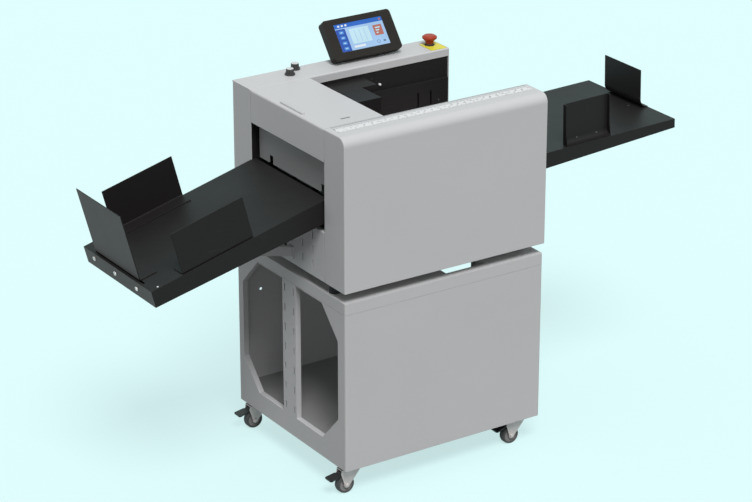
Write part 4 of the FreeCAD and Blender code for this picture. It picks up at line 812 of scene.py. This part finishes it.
TRAY_SCREW = dict(radius=0.0062, height=0.0026, material=bright_steel)
TRAY_RIVET = dict(radius=0.0026, height=0.0009, material=bright_steel)
GUIDE_RIVET = dict(radius=0.0028, height=0.0010, material=knob_plastic, slot="black_plastic")
OUTFEED_RIVET = dict(radius=0.0030, height=0.0009, material=knob_plastic, slot="black_plastic")
PANEL_SCREW = dict(radius=0.0042, height=0.0020, material=black_plastic, slot="black_plastic")
WELL_SCREW = dict(radius=0.0026, height=0.0012, material=knob_plastic, slot="black_plastic")
WELL_RIVET = dict(radius=0.0026, height=0.0010, material=black_plastic, slot="black_plastic")
WELL_STUD = dict(radius=0.0038, height=0.0040, material=bright_steel)
COVER_SCREW = dict(radius=0.0040, height=0.0018, material=zinc)
STAND_SCREW = dict(radius=0.0046, height=0.0022, material=zinc)
INLET_SCREW = dict(radius=0.0020, height=0.0010, material=black_plastic, slot="black_plastic")


def add_tray_fasteners():
    for number, (y, drop) in enumerate(((396, -17.0), (289, -20.0), (180, -22.0)), start=1):
        screw_head("tray_end_screw_%d" % number, "infeed_tray", on_tray(-540, y, drop),
                   UP_THE_TRAY, **TRAY_SCREW)
    rivet_head("tray_rivet", "infeed_tray", on_tray(-488, 105, 20), INTO_THE_TRAY, **TRAY_RIVET)
    rivet_head("guide_rivet_1", "outfeed_guide", at(797, 60, 225.5), BACK, **GUIDE_RIVET)
    rivet_head("guide_rivet_2", "outfeed_guide", at(862, 60, 226.5), BACK, **GUIDE_RIVET)
    rivet_head("outfeed_tray_rivet", "outfeed_tray", at(1076, 240, 300), DOWN, **OUTFEED_RIVET)


def add_cover_fasteners():
    """Fasteners of the end panels, the well, the rear cover, the stand's rear and the inlet."""
    screw_head("left_panel_screw", "lower_end_panels", at(-40, 279, 42), RIGHT, **PANEL_SCREW)
    screw_head("right_panel_screw", "lower_end_panels", at(660, 279, 42), LEFT, **PANEL_SCREW)
    screw_head("well_panel_screw", "well_rear_panel", at(583, 300, 274.5), BACK, **WELL_SCREW)
    rivet_head("well_wall_rivet", "rear_side_plate", at(373, 400, 369.5), BACK, **WELL_RIVET)
    rivet_head("well_wall_stud", "rear_side_plate", at(398, 400, 350.5), BACK, **WELL_STUD)
    for number, (x, z) in enumerate(product((18, 310, 602), (20, 392)), start=1):
        screw_head("rear_cover_screw_%d" % number, "rear_cover", at(x, 600, z), FRONT,
                   **COVER_SCREW)
    panel_low, panel_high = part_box("stand_rear_panel")
    middle = (panel_low.x + panel_high.x) / 2
    columns = (panel_low.x + STAND_SCREW_INSET, middle, panel_high.x - STAND_SCREW_INSET)
    rows = (panel_low.z + STAND_SCREW_INSET, panel_high.z - STAND_SCREW_DROP)
    for (column, x), (row, z) in product(enumerate(columns, start=1), enumerate(rows, start=1)):
        screw_head("stand_rear_screw_%d_%d" % (column, row), "stand_rear_panel",
                   Vector((x, panel_high.y + RAY_CLEARANCE, z)), FRONT, **STAND_SCREW)
    inlet_low, inlet_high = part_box("power_inlet")
    centre = (inlet_low + inlet_high) / 2
    for number, side in enumerate((-1, 1), start=1):
        x = centre.x + side * (inlet_high.x - inlet_low.x) * INLET_SCREW_SPREAD
        screw_head("inlet_screw_%d" % number, "power_inlet",
                   Vector((x, inlet_high.y + RAY_CLEARANCE, centre.z)), FRONT, **INLET_SCREW)


# ---- Printed scale on the front cover, and the mark on the lid ----
def add_scale_strip():
    middle = Vector((STRIP_START.x + STRIP_LENGTH / 2, STRIP_START.y + STRIP_WIDTH / 2,
                     MACHINE_TOP + STRIP_THICKNESS / 2))
    piece = block("scale_strip", middle, (STRIP_LENGTH, STRIP_WIDTH, STRIP_THICKNESS))
    open_faces(piece, faces_up)
    step_in(STRIP_RIM, STRIP_CROWN)
    close_piece()
    finish_piece(piece, scale_strip_finish(), "root")


def add_numbers(name, pitch, last, step, across, size):
    """Plain numbers at equal steps along the strip, as one printed piece."""
    made = []
    for number in range(step, last + 1, step):
        deselect()
        place = Vector((STRIP_START.x + number * pitch + NUMBER_SHIFT, STRIP_START.y + across,
                        MACHINE_TOP + NUMBER_RISE))
        bpy.ops.object.text_add(location=place)
        label = bpy.context.object
        label.data.body = str(number)
        label.data.size = size
        label.data.extrude = NUMBER_THICKNESS
        bpy.ops.object.convert(target="MESH")
        apply_transform()
        made.append(bpy.context.object)
    deselect()
    for label in made:
        label.select_set(True)
    bpy.context.view_layer.objects.active = made[0]
    bpy.ops.object.join()
    finish_piece(named(name), scale_ink, "root")


def add_paper_edge_mark():
    """Short dark mark on the lid where the edge of the paper is set."""
    place = at(88, 131.5, 0)
    place.z = MACHINE_TOP + 0.00010
    piece = block("paper_edge_mark", place, (0.027, 0.0042, 0.0002))
    open_faces(piece, faces_up)
    step_in(0.0003, 0.00005)
    close_piece()
    finish_piece(piece, scale_ink, "lid")


# ---- Touch screen ----
pane_low, pane_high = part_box("screen_glass")
PANE_DROP = PANE_THICKNESS * math.sin(SCREEN_LEAN)
SCREEN_ORIGIN = Vector((pane_low.x, pane_low.y, pane_low.z + PANE_DROP))
SCREEN_WIDE = pane_high.x - pane_low.x
SCREEN_TALL = (pane_high.z - pane_low.z - PANE_DROP) / math.cos(SCREEN_LEAN)
SCREEN_NORMAL = Vector((0, -math.cos(SCREEN_LEAN), math.sin(SCREEN_LEAN)))
SCREEN_UP = Vector((0, math.sin(SCREEN_LEAN), math.cos(SCREEN_LEAN)))


def on_screen(u, v, layer):
    """Stands a flat tile on the display: u and v are shares of its width and height."""
    place = (SCREEN_ORIGIN + RIGHT * (u * SCREEN_WIDE) + SCREEN_UP * (v * SCREEN_TALL)
             + SCREEN_NORMAL * (layer * LAYER_STEP))
    turn = Matrix((RIGHT, SCREEN_UP, SCREEN_NORMAL)).transposed().to_4x4()
    return Matrix.Translation(place) @ turn


def thicken_tile():
    bpy.ops.mesh.select_all(action="SELECT")
    push(TILE_THICKNESS)
    bpy.ops.mesh.select_all(action="SELECT")
    bpy.ops.mesh.normals_make_consistent(inside=False)
    close_piece()


def screen_tile(name, area, layer, material, rounding=0.0012):
    """Rounded rectangle of the display's page, from its left, lower, right and upper share."""
    u0, v0, u1, v1 = area
    deselect()
    bpy.ops.mesh.primitive_plane_add(size=1.0)
    piece = named(name)
    piece.scale = ((u1 - u0) * SCREEN_WIDE, (v1 - v0) * SCREEN_TALL, 1.0)
    apply_transform()
    open_faces(piece, any_face)
    bpy.ops.mesh.bevel(offset=rounding, segments=4, affect="VERTICES")
    thicken_tile()
    finish_piece(piece, material, "screen",
                 on_screen((u0 + u1) / 2, (v0 + v1) / 2, layer))


def screen_ring(name, u, v, radius, width, layer, material):
    """Flat ring."""
    deselect()
    bpy.ops.mesh.primitive_circle_add(vertices=40, radius=radius, fill_type="NGON")
    piece = named(name)
    open_faces(piece, any_face)
    bpy.ops.mesh.inset(thickness=width)
    bpy.ops.mesh.delete(type="FACE")
    thicken_tile()
    finish_piece(piece, material, "screen", on_screen(u, v, layer))


def add_screen_page():
    """A plain control page of this machine: a sheet with crease lines, keys and a status bar."""
    pale = lit_colour("page_pale", (0.40, 0.62, 0.93, 1.0))
    bar_blue = lit_colour("page_bar_blue", (0.018, 0.14, 0.60, 1.0))
    key_blue = lit_colour("page_key_blue", (0.020, 0.085, 0.46, 1.0))
    sky_blue = lit_colour("page_sky_blue", (0.08, 0.30, 0.78, 1.0))
    light = lit_colour("page_light", (0.60, 0.86, 0.98, 1.0))
    salmon = lit_colour("page_salmon", (0.52, 0.17, 0.12, 1.0))
    white = lit_colour("page_white", (0.86, 0.94, 1.0, 1.0))
    slate = lit_colour("page_slate", (0.10, 0.20, 0.34, 1.0))
    screen_tile("page_ground", (0.004, 0.006, 0.996, 0.994), 1, pale, 0.0004)
    screen_tile("page_bar", (0.004, 0.84, 0.996, 0.994), 2, bar_blue, 0.0003)
    for index in range(3):
        left = 0.07 + index * 0.075
        screen_tile("page_bar_mark_%d" % (index + 1), (left, 0.885, left + 0.042, 0.95), 3,
                    white, 0.0010)
    screen_tile("page_bar_end", (0.925, 0.885, 0.965, 0.945), 3, salmon, 0.0006)
    screen_tile("page_column", (0.004, 0.006, 0.20, 0.81), 2, key_blue, 0.0003)
    for index in range(4):
        base = 0.06 + index * 0.19
        screen_tile("page_key_%d" % (index + 1), (0.06, base, 0.155, base + 0.11), 3, sky_blue)
        screen_tile("page_key_mark_%d" % (index + 1), (0.085, base + 0.04, 0.13, base + 0.07),
                    4, light, 0.0004)
    sheet_left, sheet_width = 0.27, 0.40
    screen_tile("page_sheet", (sheet_left, 0.22, 0.67, 0.76), 2, light, 0.0008)
    for number, share in enumerate((0.25, 0.5, 0.75), start=1):
        u = sheet_left + sheet_width * share
        screen_tile("page_crease_%d" % number, (u - 0.002, 0.27, u + 0.002, 0.71), 3, sky_blue,
                    0.0001)
    screen_tile("page_count_field", (sheet_left, 0.08, 0.50, 0.155), 2, white, 0.0006)
    screen_tile("page_speed_key", (0.76, 0.36, 0.94, 0.73), 2, salmon, 0.0016)
    for index in range(3):
        base = 0.43 + index * 0.09
        screen_tile("page_speed_bar_%d" % (index + 1),
                    (0.80, base, 0.84 + index * 0.03, base + 0.045), 3, light, 0.0004)
    screen_ring("page_dial", 0.78, 0.14, 0.0050, 0.0012, 2, slate)
    screen_tile("page_dial_key", (0.88, 0.11, 0.93, 0.17), 2, slate, 0.0008)


# ---- Knobs and emergency stop ----
def add_knob_caps():
    """Light cap with a raised pointer on each knob; the pointer's near-white paint is partly a
    painted highlight.
    """
    for name in ("knob_front", "knob_rear"):
        low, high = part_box(name)
        top = Vector(((low.x + high.x) / 2, (low.y + high.y) / 2, high.z))
        cap = cylinder(name + "_cap", CAP_RADIUS, CAP_HEIGHT, 40)
        open_faces(cap, faces_up)
        step_in(CAP_RIM, -CAP_SINK)
        close_piece()
        round_edges(cap, SMALL_EDGE)
        finish_piece(cap, cap_plastic, body_of[name], Matrix.Translation(top))
        pointer = block(name + "_pointer", top + POINTER_SHIFT, POINTER_SIZE)
        round_edges(pointer, SMALL_EDGE)
        finish_piece(pointer, pointer_and_painted_highlight, body_of[name])


def ring(name, place, radius, thickness, material, body):
    """Round ring that lies flat, flattened underneath where it is seated."""
    deselect()
    bpy.ops.mesh.primitive_torus_add(
        major_radius=radius, minor_radius=thickness, major_segments=48, minor_segments=12)
    piece = named(name)
    open_faces(piece, faces_down)
    bpy.ops.transform.resize(value=(1.0, 1.0, 0.2))
    close_piece()
    finish_piece(piece, material, body, Matrix.Translation(place))


def add_stop_button_collar():
    """Rubber collar where the plunger enters the yellow plate."""
    low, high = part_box("estop_plunger")
    plate_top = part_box("estop_plate")[1].z
    place = Vector(((low.x + high.x) / 2, (low.y + high.y) / 2, plate_top + COLLAR_RISE))
    ring("stop_button_collar", place, COLLAR_RADIUS, COLLAR_THICKNESS, rubber, "root")


# ---- Casters ----
def add_caster_details():
    """Ball race under each plate and a nut at both ends of each axle."""
    race_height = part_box("caster_plates")[0].z - RACE_DROP
    for key in CASTERS:
        low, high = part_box("caster_wheel_" + key)
        axle = (low + high) / 2
        place = Vector((axle.x + SWIVEL_OFFSET, axle.y, race_height))
        ring("caster_race_" + key, place, RACE_RADIUS, RACE_THICKNESS, zinc, "swivel_" + key)
        reach = (high.y - low.y) / 2 + NUT_GAP
        for side, normal in (("front", FRONT), ("rear", BACK)):
            hex_nut("caster_nut_%s_%s" % (side, key), axle + normal * reach, normal,
                    NUT_RADIUS, NUT_HEIGHT, zinc, "swivel_" + key)


bpy.context.view_layer.update()
add_tray_fasteners()
add_cover_fasteners()
add_scale_strip()
add_numbers("scale_numbers_cm", pitch=0.01, last=58, step=2, across=0.0145, size=0.0075)
add_numbers("scale_numbers_inch", pitch=INCH, last=22, step=1, across=0.0090, size=0.0060)
add_paper_edge_mark()
add_screen_page()
add_knob_caps()
add_stop_button_collar()
add_caster_details()


# ---- Floor, light and camera ----
def seen_or_mirrored(tree):
    """1 for rays from the camera, a mirror or glass, and 0 for all others."""
    ray = tree.nodes.new("ShaderNodeLightPath")
    seen = calculate(tree, "MAXIMUM", ray.outputs["Is Camera Ray"], ray.outputs["Is Glossy Ray"])
    return calculate(tree, "MAXIMUM", seen, ray.outputs["Is Transmission Ray"])


def blend_shaders(tree, factor, first, second):
    node = tree.nodes.new("ShaderNodeMixShader")
    for socket, value in zip(node.inputs, (factor, first, second)):
        feed(tree, socket, value)
    return node.outputs["Shader"]


def add_floor():
    """Pale where it is seen or mirrored, and a dull grey for the light that it throws back."""
    deselect()
    bpy.ops.mesh.primitive_plane_add(size=FLOOR_SIZE, location=(0, 0, 0))
    floor = named("floor")
    material, tree, shader = new_material("pale_floor")
    seen = seen_or_mirrored(tree)
    tone = noise(tree, object_place(tree), 3.0)
    pale = mix_colour(tree, tone, FLOOR_PALE_DIM, FLOOR_PALE)
    feed(tree, shader.inputs["Base Color"], mix_colour(tree, seen, FLOOR_BOUNCE, pale))
    set_sockets(shader, Roughness=1.0, Specular_IOR_Level=0.0)
    glow = tree.nodes.new("ShaderNodeEmission")
    glow.inputs["Color"].default_value = BACKDROP
    share = calculate(tree, "MULTIPLY", seen, FLOOR_GLOW)
    blend = blend_shaders(tree, share, shader.outputs["BSDF"], glow.outputs["Emission"])
    feed(tree, tree.nodes["Material Output"].inputs["Surface"], blend)
    floor.data.materials.append(material)


def add_sky():
    """Even studio light, with the pale backdrop wherever it is seen or mirrored."""
    world = bpy.data.worlds.new("studio")
    bpy.context.scene.world = world
    world.use_nodes = True
    tree = world.node_tree
    light = tree.nodes["Background"]
    light.inputs["Color"].default_value = SKY_COLOUR
    light.inputs["Strength"].default_value = SKY_STRENGTH
    backdrop = tree.nodes.new("ShaderNodeBackground")
    backdrop.inputs["Color"].default_value = BACKDROP
    blend = blend_shaders(tree, seen_or_mirrored(tree), light.outputs["Background"],
                          backdrop.outputs["Background"])
    feed(tree, tree.nodes["World Output"].inputs["Surface"], blend)


def add_key_light():
    """Soft sun from above the front left."""
    sun = bpy.data.lights.new("key", "SUN")
    sun.energy = KEY_STRENGTH
    sun.angle = KEY_ANGLE
    lamp = bpy.data.objects.new("key", sun)
    bpy.context.scene.collection.objects.link(lamp)
    lamp.rotation_euler = KEY_DIRECTION.to_track_quat("Z", "Y").to_euler()


def add_camera():
    camera = bpy.data.cameras.new("camera")
    camera.sensor_width = SENSOR_WIDTH
    camera.lens = FOCAL_PIXELS * SENSOR_WIDTH / IMAGE_WIDTH
    camera.clip_end = CAMERA_REACH
    holder = bpy.data.objects.new("camera", camera)
    bpy.context.scene.collection.objects.link(holder)
    holder.location = CAMERA_PLACE
    holder.rotation_euler = (math.pi / 2 - CAMERA_PITCH, 0.0, CAMERA_TURN)
    bpy.context.scene.camera = holder


add_floor()
add_sky()
add_key_light()
add_camera()
bpy.context.scene.view_settings.view_transform = "Standard"
